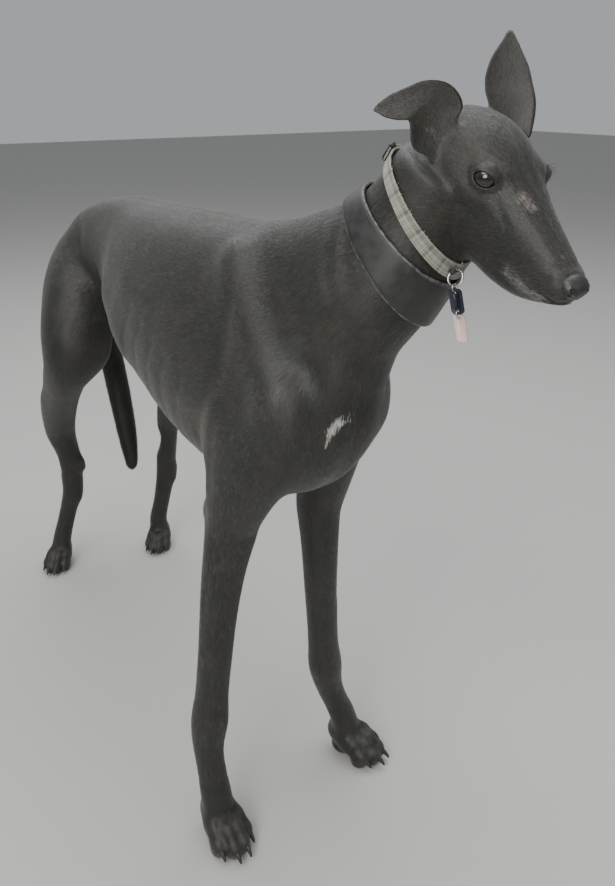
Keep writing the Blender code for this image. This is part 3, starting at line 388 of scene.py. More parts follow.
def setPoints(item, points):
    item.data.vertices.foreach_set("co", points.astype(np.float32).ravel())
    item.data.update()


def relax(item, rounds, strength=None):
    points = pointsOf(item)
    ends = np.empty(len(item.data.edges) * 2, np.int32)
    item.data.edges.foreach_get("vertices", ends)
    a, b = ends.reshape(-1, 2).T
    degree = np.bincount(np.concatenate([a, b]), minlength=len(points))[:, None]
    share = 0.5 if strength is None else 0.5 * strength(points)[:, None]
    for _ in range(rounds):
        total = np.zeros_like(points)
        for axis in range(3):
            total[:, axis] = np.bincount(a, points[b, axis], len(points))
            total[:, axis] += np.bincount(b, points[a, axis], len(points))
        points += share * (total / degree - points)
    setPoints(item, points)


def lineDistance(points, line):
    nearest = np.full(len(points), 1.0)
    for start, end in zip(line, line[1:]):
        start, end = np.array(start, float), np.array(end, float)
        span = end - start
        t = np.clip((points - start) @ span / (span @ span), 0, 1)
        nearest = np.minimum(nearest, np.linalg.norm(points - start - t[:, None] * span, axis=1))
    return nearest


def fade(near, width):
    return np.exp(-((near / width) ** 2))


def pressLine(item, line, depth, width):
    points, normals = pointsOf(item), normalsOf(item)
    near = lineDistance(points, line)
    setPoints(item, points - normals * (depth * fade(near, width))[:, None])


def headMatrix():
    turn = rotation(head["yaw"], "Z") @ rotation(head["nod"], "Y") @ rotation(head["tilt"], "X")
    return Matrix.Translation(head["place"]) @ turn @ Matrix.Scale(head["size"], 4)


headPlace = headMatrix()
headTurn = headPlace.to_3x3().normalized().to_4x4()
headBack = np.array(headPlace.inverted())


def sided(point, side):
    return Vector((point[0], side * point[1], point[2]))


def onHead(point, side=1):
    return headPlace @ sided(point, side)


def headLocal(points):
    return points @ headBack[:3, :3].T + headBack[:3, 3]


def step(x, low, high):
    t = np.clip((x - low) / (high - low), 0, 1)
    return t * t * (3 - 2 * t)


def finishPiece(item, name, replaced=()):
    # Takes a piece from the tables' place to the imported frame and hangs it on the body.
    item.data.transform(Matrix.Translation(rowShift))
    item.name = name
    item.data.name = name
    item.data.shade_smooth()
    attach(item, "root")
    if replaced:
        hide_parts(*replaced)
    return item


def triangleCount(item):
    return sum(len(face.vertices) - 2 for face in item.data.polygons)


# Skin.


def addTrunk(mesh):
    rings = []
    for x, y, top, bottom, level, width, square in smoothRows(body["trunk"], 4):
        middle = Vector((x, y, level))
        rings.append(
            ringAt(middle, Vector((0, 1, 0)), Vector((0, 0, 1)), width, top - level, level - bottom, square),
        )
    loft(mesh, rings)


def addNeck(mesh):
    rings = []
    for p, side, up, (deep, wide) in pathRings(body["neck"]):
        rings.append(ringAt(p, side, up, wide, deep, deep, 2.1))
    loft(mesh, rings)


def addLeg(mesh, rows):
    rings = []
    for middle, side, front, (ahead, behind, width) in pathRings(rows):
        rings.append(ringAt(middle, side, front, width, ahead, behind, 2.1))
    loft(mesh, rings)


def addTail(mesh):
    loft(mesh, [ringAt(p, side, up, r, r, r) for p, side, up, (r,) in pathRings(body["tail"])])


def addMuscles(mesh):
    for x, offset, z, a, b, c, pitch in body["muscles"].values():
        for side in (-1, 1):
            shift = body["muscleOffset"] if x > -0.2 else 0.0
            ball(mesh, Vector((x, shift + side * offset, z)), (a, b, c), rotation(pitch, "Y"))


def addSkull(mesh):
    rings = []
    for x, top, bottom, level, width, square in smoothRows(head["rows"], 4):
        ring = ringAt(
            Vector((x, 0, level)), Vector((0, 1, 0)), Vector((0, 0, 1)), width, top - level, level - bottom,
            square,
        )
        rings.append([headPlace @ point for point in ring])
    loft(mesh, rings)
    for x, offset, z, a, b, c in head["swellings"].values():
        for side in (-1, 1):
            radii = (a * head["size"], b * head["size"], c * head["size"])
            ball(mesh, onHead((x, offset, z), side), radii, headTurn)
    lid = (eye["radius"] + eye["lid"]) * head["size"]
    for side in (-1, 1):
        ball(mesh, onHead(eye["middle"], side), (lid, lid, lid))


def cutPlane(item, middle, normal):
    # Keeps the side that the normal points away from, and leaves the rim open.
    mesh = bmesh.new()
    mesh.from_mesh(item.data)
    everything = mesh.verts[:] + mesh.edges[:] + mesh.faces[:]
    bmesh.ops.bisect_plane(
        mesh, geom=everything, plane_co=middle, plane_no=normal, dist=1e-7, clear_outer=True,
    )
    mesh.to_mesh(item.data)
    mesh.free()


def makeBodySkin():
    mesh = bmesh.new()
    addTrunk(mesh)
    addNeck(mesh)
    addMuscles(mesh)
    for rows in legs.values():
        addLeg(mesh, rows)
    addTail(mesh)
    addSkull(mesh)
    item = makeItem(mesh, "bodySkin")
    remesh(item, body["voxel"])

    tail = np.array(body["tail"])[:, :3]

    def onTail(p, start, reach):
        return (lineDistance(p, tail[start:]) < reach) & (p[:, 0] < -0.615)

    def strength(p):
        low = np.where(p[:, 0] > -0.25, 0.385, 0.42)
        share = np.clip((p[:, 2] - low) / 0.10, 0.06, 1) * np.clip((0.20 - p[:, 0]) / 0.04, 0.2, 1)
        return np.where(onTail(p, 2, 0.026), 0.06, share)

    relax(item, body["smooth"], strength)

    def byHam(p):
        near = np.full(len(p), 1.0)
        for line in body["soften"]:
            for side in (-1, 1):
                near = np.minimum(near, lineDistance(p, [(x, side * y, z) for x, y, z in line]))
        return np.where(onTail(p, 1, 0.028), 0.0, fade(near, body["softReach"]))

    relax(item, body["softRounds"], byHam)
    points, normals = pointsOf(item), normalsOf(item)
    fuller = body["tailFuller"] * step(0.50 - points[:, 2], 0.0, 0.06)
    points -= normals * np.where(onTail(points, 2, 0.026), -fuller, body["coatDepth"])[:, None]
    for side in (-1, 1):
        # The fold of skin from thigh to belly closes the gap before the thigh.
        way = np.array([0.549, -0.836 * side, 0.0])
        near = lineDistance(points, [(x, side * y, z) for x, y, z in body["groin"]])
        facing = step(normals @ way, -0.10, 0.55)
        points += way * (body["groinFuller"] * facing * fade(near, body["groinReach"]))[:, None]
    setPoints(item, points)
    relax(item, 8, lambda p: np.where(p[:, 2] > 0.40, 0.5, 0.0) * (p[:, 0] < -0.33))
    return item


# Hollows and ridges that follow the muscles, seen from the side: points as x and z, depth,
# width. A negative depth stands out.
forms = {
    "rumpFront": ([(-0.505, 0.662), (-0.470, 0.640), (-0.452, 0.606), (-0.436, 0.590)], 0.0024, 0.014),
    "flankHollow": ([(-0.330, 0.636), (-0.385, 0.596), (-0.415, 0.562)], 0.0026, 0.028),
    "flankFold": ([(-0.405, 0.600), (-0.412, 0.570), (-0.420, 0.545), (-0.430, 0.520)], 0.0022, 0.008),
    "thighFront": ([(-0.424, 0.566), (-0.414, 0.530), (-0.405, 0.495)], -0.0010, 0.016),
    "thighGroove": ([(-0.560, 0.600), (-0.545, 0.545), (-0.520, 0.490), (-0.500, 0.450)], 0.0020, 0.014),
    "thighBulk": ([(-0.490, 0.600), (-0.475, 0.550), (-0.465, 0.505)], -0.0016, 0.030),
    "seatLine": ([(-0.610, 0.580), (-0.585, 0.525), (-0.556, 0.470)], 0.0012, 0.010),
    "flankFuller": ([(-0.320, 0.575), (-0.290, 0.562), (-0.262, 0.552), (-0.235, 0.545)], -0.0080, 0.034),
    "armRear": (
        [(0.043, 0.662), (0.036, 0.622), (0.024, 0.585), (0.004, 0.545), (-0.018, 0.500)], 0.0024, 0.013,
    ),
    "tricepsBulk": ([(0.030, 0.560), (0.014, 0.520), (0.002, 0.475)], -0.0016, 0.028),
    "tricepsSplit": ([(0.050, 0.585), (0.030, 0.545), (0.022, 0.500), (0.018, 0.462)], 0.0010, 0.009),
    "bladeSpine": ([(0.030, 0.700), (0.060, 0.648), (0.088, 0.600)], -0.0008, 0.012),
    "bladeFront": ([(0.052, 0.702), (0.084, 0.654), (0.108, 0.608)], 0.0014, 0.014),
    "shoulderFront": ([(0.128, 0.606), (0.126, 0.580), (0.118, 0.548), (0.104, 0.514)], 0.0022, 0.012),
    "pointBulk": ([(0.112, 0.585), (0.104, 0.560)], -0.0012, 0.020),
    "neckGroove": ([(0.172, 0.706), (0.146, 0.672), (0.122, 0.640)], 0.0026, 0.010),
    "neckFoldOne": ([(0.134, 0.752), (0.150, 0.716), (0.158, 0.690)], 0.0009, 0.005),
    "neckFoldTwo": ([(0.120, 0.742), (0.136, 0.706), (0.146, 0.678)], 0.0007, 0.005),
    "elbowHollow": ([(-0.006, 0.440), (0.004, 0.424)], 0.0026, 0.010),
    "forearmSplit": ([(0.026, 0.400), (0.020, 0.360), (0.016, 0.310), (0.012, 0.262)], 0.0012, 0.006),
    "ribOne": ([(-0.040, 0.560), (-0.058, 0.530), (-0.070, 0.490), (-0.074, 0.462)], 0.0007, 0.007),
    "ribTwo": ([(-0.072, 0.570), (-0.092, 0.540), (-0.104, 0.500), (-0.108, 0.470)], 0.0008, 0.007),
    "ribThree": ([(-0.104, 0.582), (-0.126, 0.552), (-0.140, 0.512), (-0.144, 0.480)], 0.0009, 0.007),
    "ribFour": ([(-0.136, 0.592), (-0.160, 0.564), (-0.176, 0.524), (-0.180, 0.494)], 0.0009, 0.007),
    "ribFive": ([(-0.168, 0.602), (-0.194, 0.574), (-0.212, 0.538), (-0.216, 0.508)], 0.0008, 0.007),
    "ribEdge": ([(-0.200, 0.622), (-0.240, 0.586), (-0.268, 0.550), (-0.272, 0.520)], -0.0010, 0.016),
}
# The same along the middle line, on the whole body: points in three places, depth, width.
midForms = {
    "spine": (
        [(-0.470, -0.002, 0.700), (-0.330, -0.008, 0.702), (-0.160, -0.016, 0.712), (-0.020, -0.020, 0.720)],
        0.0016, 0.007,
    ),
    "spineRear": ([(-0.600, 0.000, 0.640), (-0.540, 0.000, 0.668), (-0.470, -0.002, 0.698)], 0.0018, 0.008),
    "neckBase": ([(0.148, -0.036, 0.604), (0.154, -0.010, 0.602), (0.144, 0.022, 0.600)], -0.0065, 0.022),
    "breastLine": (
        [(0.152, -0.012, 0.620), (0.150, -0.013, 0.575), (0.128, -0.015, 0.500), (0.095, -0.018, 0.462)],
        0.0026, 0.010,
    ),
}
for n in range(5):
    across = -0.345 + 0.017 * n
    midForms["loinFold" + str(n)] = (
        [
            (across, -0.050, 0.690 + 0.001 * n), (across + 0.004, -0.020, 0.704),
            (across + 0.002, 0.010, 0.706), (across - 0.004, 0.036, 0.694),
        ],
        0.0005, 0.0040,
    )
legForms = {
    # On the legs, named by leg: points, depth, width.
    "tendonRight": (
        [(-0.452, -0.118, 0.438), (-0.500, -0.112, 0.392), (-0.560, -0.104, 0.330), (-0.606, -0.086, 0.262)],
        0.0016, 0.006,
    ),
    "tendonLeft": (
        [(-0.430, 0.108, 0.430), (-0.475, 0.108, 0.380), (-0.530, 0.108, 0.315), (-0.572, 0.112, 0.245)],
        0.0016, 0.006,
    ),
    "hockRight": ([(-0.628, -0.078, 0.240), (-0.642, -0.076, 0.200)], 0.0016, 0.006),
    "shankInner": (
        [
            (-0.4916, -0.075, 0.397), (-0.520, -0.075, 0.368), (-0.5424, -0.0728, 0.345),
            (-0.584, -0.0663, 0.290), (-0.6025, -0.059, 0.248), (-0.610, -0.053, 0.215),
            (-0.619, -0.051, 0.180), (-0.6275, -0.052, 0.140),
        ],
        -0.0042, 0.015,
    ),
    "shankOuter": (
        [
            (-0.5508, -0.1142, 0.371), (-0.568, -0.112, 0.345), (-0.606, -0.100, 0.290),
            (-0.6137, -0.095, 0.270),
        ],
        -0.0034, 0.020,
    ),
    "thighOuter": (
        [
            (-0.5095, -0.1177, 0.478), (-0.5087, -0.1193, 0.437), (-0.5338, -0.1164, 0.397),
            (-0.568, -0.112, 0.345), (-0.606, -0.100, 0.290),
        ],
        -0.0030, 0.026,
    ),
    "hockPoint": ([(-0.6075, -0.0545, 0.216), (-0.6105, -0.053, 0.206)], -0.0078, 0.0095),
    "hockBend": ([(-0.626, -0.0862, 0.232), (-0.6323, -0.0823, 0.205)], 0.0046, 0.010),
    "hockInnerLeft": ([(-0.577, 0.082, 0.250), (-0.587, 0.0837, 0.222)], 0.0060, 0.013),
    "hockOuterLeft": ([(-0.5804, 0.1136, 0.170), (-0.585, 0.1129, 0.150)], -0.0048, 0.013),
    "hockLeft": ([(-0.590, 0.110, 0.228), (-0.602, 0.112, 0.190)], 0.0016, 0.006),
    "wristPadRight": ([(-0.020, -0.108, 0.126), (-0.021, -0.108, 0.120)], -0.0032, 0.006),
    "wristPadLeft": ([(-0.035, 0.064, 0.119), (-0.036, 0.064, 0.113)], -0.0032, 0.006),
}


def sculptBody(item):
    points, normals = pointsOf(item), normalsOf(item)
    middle = np.interp(points[:, 0], [-0.60, -0.20, 0.0, 0.12, 0.18], [0.0, -0.014, -0.020, -0.006, 0.036])
    sideways = np.abs(normals[:, 1])
    outward = np.sign(points[:, 1] - middle) * np.sign(normals[:, 1])
    facing = step(sideways, 0.25, 0.65) * (outward > 0)
    press = np.zeros(len(points))
    flat = points[:, [0, 2]]
    for line, depth, width in forms.values():
        near = lineDistance(flat, line)
        press += depth * fade(near, width) * facing
    for line, depth, width in list(midForms.values()) + list(legForms.values()):
        near = lineDistance(points, line)
        press += depth * fade(near, width)
    setPoints(item, points - normals * press[:, None])


def pawPlace(name):
    x, y, heading, size = paws["rows"][name]
    return Matrix.Translation((x, y, 0)) @ rotation(heading, "Z"), size


def makePawSkin(name, legTree):
    place, size = pawPlace(name)
    x, y, heading = paws["rows"][name][:3]
    turn = place.to_3x3().to_4x4()
    shapes = [((-0.014, 0, 0.030), (0.024, 0.0200, 0.020)), ((-0.012, 0, 0.0085), (0.0185, 0.0175, 0.0100))]
    for offset, reach in paws["toes"]:
        shapes.append(((reach - 0.028, offset * 0.92, 0.0245), (0.0180, 0.0088, 0.0135)))
        shapes.append(((reach - 0.012, offset * 1.04, 0.0140), (0.0135, 0.0082, 0.0125)))
        shapes.append(((reach - 0.013, offset * 1.05, 0.0045), (0.0105, 0.0070, 0.0065)))
    mesh = bmesh.new()
    for middle, radii in shapes:
        ball(mesh, place @ (Vector(middle) * size), [r * size for r in radii], turn, 14)
    addLeg(mesh, legs[name][-5:])
    item = makeItem(mesh, "pawSkin")
    remesh(item, paws["voxel"])
    relax(item, paws["smooth"])

    def strength(p):
        # The toes keep their form, and the heel runs up into the leg.
        angle = math.radians(heading)
        ahead = (p - np.array((x, y, 0))) @ (math.cos(angle), math.sin(angle), 0)
        return np.clip((p[:, 2] - 0.010) / 0.014, 0.10, 1) * np.clip((0.012 - ahead) / 0.014, 0.10, 1)

    relax(item, paws["heelSmooth"], strength)
    points, normals = pointsOf(item), normalsOf(item)
    inset = 0.0005 + 0.0005 * step(points[:, 2], 0.05, 0.075)
    points = points - normals * inset[:, None]
    points[:, 2] = np.maximum(points[:, 2], 0.0003)
    share = step(points[:, 2], 0.046, 0.070)
    for n in np.nonzero(share > 0)[0]:
        spot = legTree.find_nearest(points[n])[0]
        points[n] += share[n] * (np.array(spot) - points[n])
    setPoints(item, points)
    return item


def makeHeadSkin():
    mesh = bmesh.new()
    addSkull(mesh)
    addNeck(mesh)
    item = makeItem(mesh, "headSkin")
    remesh(item, head["voxel"])
    relax(item, head["smooth"], lambda p: np.clip((-0.030 - headLocal(p)[:, 0]) / 0.03, 0.22, 1))
    points, normals = pointsOf(item), normalsOf(item)
    back = step(-headLocal(points)[:, 0], 0.05, 0.10)
    inset = head["coatDepth"] + (body["coatDepth"] - head["coatDepth"]) * back
    setPoints(item, points - normals * inset[:, None])
    sculptHead(item)
    growEars(item)
    for side in (-1, 1):
        carveEye(item, side)
    return item


# Lines of the face at full scale: points, depth, width.
faceForms = {
    "archBone": (
        [(0.014, 0.0330, -0.0150), (-0.012, 0.0420, -0.0160), (-0.034, 0.0460, -0.0140)], -0.0008, 0.0075,
    ),
    "archUnder": (
        [(0.010, 0.0330, -0.0250), (-0.014, 0.0420, -0.0270), (-0.030, 0.0455, -0.0290)], 0.0007, 0.0080,
    ),
    "temple": ([(-0.026, 0.0380, 0.0100), (-0.050, 0.0430, 0.0060)], 0.0020, 0.0100),
    "foreheadGroove": ([(0.022, 0.0, 0.0150), (-0.004, 0.0, 0.0300), (-0.040, 0.0, 0.0370)], 0.0010, 0.0050),
    "browRidge": (
        [(0.012, 0.0220, 0.0150), (-0.002, 0.0270, 0.0200), (-0.016, 0.0300, 0.0180)], -0.0009, 0.0036,
    ),
    "tearLine": (
        [(0.012, 0.0290, 0.0010), (0.024, 0.0270, -0.0080), (0.038, 0.0250, -0.0160)], 0.0009, 0.0035,
    ),
    "bridgeSide": (
        [(0.020, 0.0200, 0.0080), (0.050, 0.0160, -0.0030), (0.086, 0.0120, -0.0130)], -0.0006, 0.0040,
    ),
    "noseBack": (
        [(0.0990, 0.0120, -0.0200), (0.1030, 0.0060, -0.0160), (0.1035, 0.0005, -0.0150)], -0.0009, 0.0050,
    ),
    "noseSide": ([(0.1050, 0.0150, -0.0280), (0.1000, 0.0165, -0.0220)], -0.0012, 0.0050),
    "whiskerBed": ([(0.098, 0.0180, -0.0360), (0.080, 0.0210, -0.0390)], -0.0009, 0.0070),
    "jawLine": (
        [(0.030, 0.0230, -0.0640), (-0.004, 0.0330, -0.0700), (-0.034, 0.0380, -0.0680)], -0.0010, 0.0060,
    ),
    "throatSplit": ([(0.060, 0.0, -0.0760), (0.020, 0.0, -0.0860), (-0.020, 0.0, -0.0980)], 0.0014, 0.0060),
    "earFront": (
        [(-0.036, 0.0360, 0.0180), (-0.040, 0.0450, -0.0020), (-0.046, 0.0480, -0.0200)], 0.0005, 0.0060,
    ),
}


def sculptHead(item):
    points, normals = pointsOf(item), normalsOf(item)
    press = np.zeros(len(points))
    for line, depth, width in faceForms.values():
        for side in (-1, 1) if line[0][1] else (1,):
            near = lineDistance(points, [onHead(row, side) for row in smoothRows(line, 4)])
            press += head["size"] * depth * fade(near, width * head["size"])
    for side in (-1, 1):
        line = [onHead(row, side) for row in smoothRows(head["mouth"], 6)]
        near = lineDistance(points, line)
        press += 0.0019 * fade(near, 0.0016) - 0.0007 * fade(near - 0.0034, 0.0018)
        middle, axis, across, up = (np.array(row) for row in eyeFrame(side))
        reach = points - middle
        x, y = reach @ across, reach @ up
        wide, high = 0.92 * eye["opening"][0] * head["size"], 0.80 * eye["opening"][1] * head["size"]
        ring = np.hypot(x / wide, y / high)
        facing = step(normals @ axis, 0.15, 0.45) * (reach @ axis > 0.002)
        above = 0.45 + 0.55 * np.clip(y / high, 0, 1)
        press += facing * above * 0.00085 * fade(ring - 1.46, 0.12)
        press -= facing * 0.00055 * fade(ring - 1.14, 0.14)
        press += facing * 0.00040 * fade(ring - 1.85, 0.16) * (y > 0)
    points = points - normals * press[:, None]
    for side in (-1, 1):
        # The lids keep their thickness over the eyeball.
        middle = np.array(eyeFrame(side)[0])
        reach = points - middle
        far = np.linalg.norm(reach, axis=1)
        least = eye["radius"] * head["size"] + 0.0009
        points += reach * np.clip(least / far - 1, 0, None)[:, None]
    setPoints(item, points)


def eyeFrame(side):
    middle = onHead(eye["middle"], side)
    axis = (headPlace.to_3x3() @ sided(eye["axis"], side)).normalized()
    up = headPlace.to_3x3() @ Vector((0, 0, 1))
    across = up.cross(axis).normalized()
    return middle, axis, across, axis.cross(across)


def almond(angle, scale=1.0):
    # Outline of the lids about the eye's axis: pointed toward both corners.
    wide, high = (r * head["size"] * scale for r in eye["opening"])
    s = math.sin(angle)
    return 0.92 * wide * math.cos(angle), 0.80 * high * math.copysign(abs(s) ** 1.3, s)


def carveEye(item, side):
    middle, axis, across, up = eyeFrame(side)
    mesh = bmesh.new()
    rings = []
    for depth, scale in ((0.0030, 0.80), (0.0100, 0.97), (0.0125, 1.0), (0.0300, 1.45)):
        ring = []
        for k in range(40):
            x, y = almond(2 * math.pi * k / 40, scale)
            ring.append(middle + axis * depth + across * x + up * y)
        rings.append(ring)
    loft(mesh, rings)
    carve(item, makeItem(mesh, "opening"))
    radius = eye["radius"] * head["size"]
    mesh = bmesh.new()
    ball(mesh, middle, (radius, radius, radius), headTurn, 28)
    carve(item, makeItem(mesh, "orbit"))


def keepAround(item, seed):
    # Keeps the connected piece nearest to the seed.
    mesh = bmesh.new()
    mesh.from_mesh(item.data)
    first = min(mesh.verts, key=lambda v: (v.co - seed).length_squared)
    seen, stack = {first}, [first]
    while stack:
        for edge in stack.pop().link_edges:
            for other in edge.verts:
                if other not in seen:
                    seen.add(other)
                    stack.append(other)
    bmesh.ops.delete(mesh, geom=[v for v in mesh.verts if v not in seen], context="VERTS")
    mesh.to_mesh(item.data)
    mesh.free()


def joinSkins(main, others):
    mesh = bmesh.new()
    for item in [main] + others:
        mesh.from_mesh(item.data)
        bpy.data.objects.remove(item)
    rims = [edge for edge in mesh.edges if edge.is_boundary]
    neckMiddle, neckWay = Vector(head["cut"][0]), Vector(head["cut"][1]).normalized()
    ankles = [Vector((x, y, paws["cut"])) for x, y, heading, size in paws["rows"].values()]
    neckReach, ankleReach = 0.12, 0.05
    for middle, reach in [(neckMiddle, neckReach)] + [(ankle, ankleReach) for ankle in ankles]:
        near = [edge for edge in rims if (edge.verts[0].co - middle).length < reach]
        bmesh.ops.bridge_loops(mesh, edges=near)
    splitWide(mesh)
    soft = []
    for vert in mesh.verts:
        atCut = abs(vert.co.z - paws["cut"]) < 0.010
        byPaw = atCut and any((vert.co - ankle).length < ankleReach for ankle in ankles)
        fromNeck = vert.co - neckMiddle
        if byPaw or (abs(fromNeck.dot(neckWay)) < 0.009 and fromNeck.length < neckReach):
            soft.append(vert)
    for _ in range(8):
        bmesh.ops.smooth_vert(mesh, verts=soft, factor=0.5, use_axis_x=True, use_axis_y=True, use_axis_z=True)
    return makeItem(mesh, "skin")


def makeSkin():
    main = makeBodySkin()
    sculptBody(main)
    legTree = treeOf(main)
    middle, normal = Vector(head["cut"][0]), Vector(head["cut"][1]).normalized()
    gap = head["cutGap"]
    cutPlane(main, middle - normal * gap, normal)
    keepAround(main, Vector((-0.15, -0.10, 0.60)))
    cutPlane(main, Vector((0, 0, paws["join"])), Vector((0, 0, -1)))
    face = makeHeadSkin()
    cutPlane(face, middle + normal * gap, -normal)
    keepAround(face, onHead((0.05, 0, 0.0)))
    others = [face]
    for name in paws["rows"]:
        foot = makePawSkin(name, legTree)
        cutPlane(foot, Vector((0, 0, paws["cut"])), Vector((0, 0, 1)))
        others.append(foot)
    return joinSkins(main, others)


# Ears.

ears = {
    "thick": 0.0026,
    "columns": 20,
    # Root to tip in the head's own frame: middle, direction across, half width, cupping.
    "left": [
        (-0.0500, 0.0270, 0.0020, 0.53, 0.84, -0.14, 0.0215, 1.15),
        (-0.0560, 0.0305, 0.0140, 0.53, 0.84, -0.14, 0.0235, 1.10),
        (-0.0613, 0.0326, 0.0240, 0.53, 0.84, -0.14, 0.0240, 1.00),
        (-0.0769, 0.0374, 0.0380, 0.36, 0.93, 0.09, 0.0256, 0.80),
        (-0.0938, 0.0413, 0.0488, 0.30, 0.94, 0.16, 0.0240, 0.60),
        (-0.1047, 0.0445, 0.0573, 0.27, 0.95, 0.19, 0.0207, 0.50),
        (-0.1143, 0.0475, 0.0646, 0.27, 0.95, 0.19, 0.0154, 0.45),
        (-0.1234, 0.0517, 0.0723, 0.26, 0.95, 0.19, 0.0085, 0.40),
        (-0.1320, 0.0549, 0.0790, 0.26, 0.95, 0.19, 0.0022, 0.30),
    ],
    "right": [
        (-0.0450, -0.0350, -0.0040, 0.09, 0.82, 0.56, 0.0165, 1.05),
        (-0.0500, -0.0475, 0.0065, 0.09, 0.82, 0.56, 0.0222, 1.00),
        (-0.0563, -0.0556, 0.0163, 0.09, 0.82, 0.56, 0.0251, 0.95),
        (-0.0661, -0.0576, 0.0307, 0.11, 0.83, 0.55, 0.0251, 0.75),
        (-0.0729, -0.0656, 0.0359, -0.13, 0.73, 0.68, 0.0245, 0.55),
        (-0.0789, -0.0778, 0.0335, -0.30, 0.61, 0.74, 0.0216, 0.45),
        (-0.0839, -0.0889, 0.0275, -0.37, 0.55, 0.75, 0.0153, 0.40),
        (-0.0883, -0.0982, 0.0223, -0.44, 0.48, 0.76, 0.0082, 0.35),
        (-0.0902, -0.1040, 0.0180, -0.42, 0.50, 0.76, 0.0022, 0.30),
    ],
}


def makeEar(name):
    table = smoothRows(ears[name], 7)
    columns = ears["columns"]
    rings = []
    for i, row in enumerate(table):
        middle = Vector(row[:3])
        along = Vector(table[min(i + 1, len(table) - 1)][:3]) - Vector(table[max(i - 1, 0)][:3])
        across = Vector(row[3:6]).normalized()
        face = across.cross(along).normalized()
        wide, bend = row[6], max(row[7], 0.05)
        radius = wide / math.sin(bend)
        outer, inner = [], []
        for k in range(columns + 1):
            share = 2 * k / columns - 1
            angle = bend * share
            out = across * math.sin(angle) - face * math.cos(angle)
            rise = radius * (math.cos(angle) - math.cos(bend))
            point = middle + across * radius * math.sin(angle) - face * rise
            half = 0.5 * ears["thick"] * (1 - abs(share) ** 5) ** 0.6
            outer.append(headPlace @ (point + out * half))
            inner.append(headPlace @ (point - out * half))
        rings.append(outer + inner[-2:0:-1])
    mesh = bmesh.new()
    loft(mesh, rings)
    splitWide(mesh)
    return makeItem(mesh, "ear")


def growEars(item):
    # Joins both ears to the head and softens the crease around their roots.
    headTree = treeOf(item)
    for name in ("left", "right"):
        ear = makeEar(name)
        earTree = treeOf(ear)
        carve(item, ear, "UNION")

        def strength(points):
            near = [max(headTree.find_nearest(p)[3], earTree.find_nearest(p)[3]) for p in points]
            return np.clip(1.15 - np.array(near) / 0.0095, 0, 1)

        relax(item, 40, strength)
    crease = [(-0.060, 0.050, 0.0), (-0.045, 0.050, -0.012), (-0.030, 0.050, -0.020), (-0.016, 0.048, -0.022)]
    for side in (-1, 1):
        line = [onHead(row, side) for row in crease]
        relax(item, 30, lambda p: fade(lineDistance(p, line), 0.010))


skin = makeSkin()
print("stage: skin", triangleCount(skin), "triangles")
fleshNodes = ["torso", "neck", "head", "tail", "ear_left", "ear_right"]
fleshNodes += [part + "_" + name for part in ("leg", "paw") for name in legs]
finishPiece(skin, "skin", fleshNodes)


# Nose leather, eyes and lids.


def makeNose():
    mesh = bmesh.new()
    radii = [r * head["size"] * 0.99 for r in nose["radii"]]
    ball(mesh, onHead(nose["middle"]), radii, headTurn, 24)
    for side in (-1, 1):
        wing = (0.0068 * head["size"], 0.0046 * head["size"], 0.0062 * head["size"])
        ball(mesh, onHead((0.1118, 0.0098, -0.0268), side), wing, headTurn, 18)
    item = makeItem(mesh, "nose")
    remesh(item, 0.00075)
    relax(item, 10)
    for side in (-1, 1):
        mesh = bmesh.new()
        turn = headTurn @ rotation(-35 * side, "Z")
        radii = [r * head["size"] for r in nose["nostrilRadii"]]
        ball(mesh, onHead(nose["nostril"], side), radii, turn, 16)
        carve(item, makeItem(mesh, "nostril"))
        slit = [(0.1185, 0.0100, -0.0275), (0.1150, 0.0134, -0.0300), (0.1105, 0.0152, -0.0305)]
        pressLine(item, [onHead(row, side) for row in smoothRows(slit, 5)], 0.0014, 0.0011)
        rim = [(0.1190, 0.0052, -0.0225), (0.1180, 0.0085, -0.0205), (0.1150, 0.0112, -0.0215)]
        pressLine(item, [onHead(row, side) for row in smoothRows(rim, 5)], -0.0005, 0.0013)
    groove = [(0.1215, 0.0, -0.0250), (0.1205, 0.0, -0.0300), (0.1175, 0.0, -0.0350), (0.1140, 0.0, -0.0390)]
    pressLine(item, [onHead(row) for row in smoothRows(groove, 5)], 0.0009, 0.0010)
    relax(item, 2)
    return item


def makeEyeball(side):
    # A ball with a bulging cornea. "polar" keeps the angle from the axis of sight, in radians.
    middle, axis, across, up = eyeFrame(side)
    radius = eye["radius"] * head["size"] - 0.00025
    turn = turnTo(across, up, axis)
    mesh = bmesh.new()
    bmesh.ops.create_uvsphere(mesh, u_segments=64, v_segments=48, radius=radius)
    polar = mesh.verts.layers.float.new("polar")
    for vert in mesh.verts:
        angle = math.atan2(Vector(vert.co.xy).length, vert.co.z)
        vert[polar] = angle
        vert.co *= 1 + 0.020 * max(0.0, 1 - (angle / 0.62) ** 2) ** 2
    bmesh.ops.transform(mesh, matrix=Matrix.Translation(middle) @ turn, verts=mesh.verts)
    return makeItem(mesh, "eye")


def makeLidRim(mesh, side):
    middle, axis, across, up = eyeFrame(side)
    rings = []
    for k in range(72):
        angle = 2 * math.pi * k / 72
        points = []
        for shift in (-0.02, 0.0, 0.02):
            x, y = almond(angle + shift, 1.02)
            flat = across * x + up * y
            deep = math.sqrt(max(1e-9, (eye["radius"] * head["size"] + 0.0004) ** 2 - x * x - y * y))
            points.append(middle + flat + axis * deep)
        along = (points[2] - points[0]).normalized()
        out = (points[1] - middle).normalized()
        flank = along.cross(out).normalized()
        out = flank.cross(along).normalized()
        thick = 0.00062 + 0.00018 * max(0.0, math.sin(angle))
        rings.append(ringAt(points[1], flank, out, thick, thick, thick, count=10))
    loft(mesh, rings, closed=True)


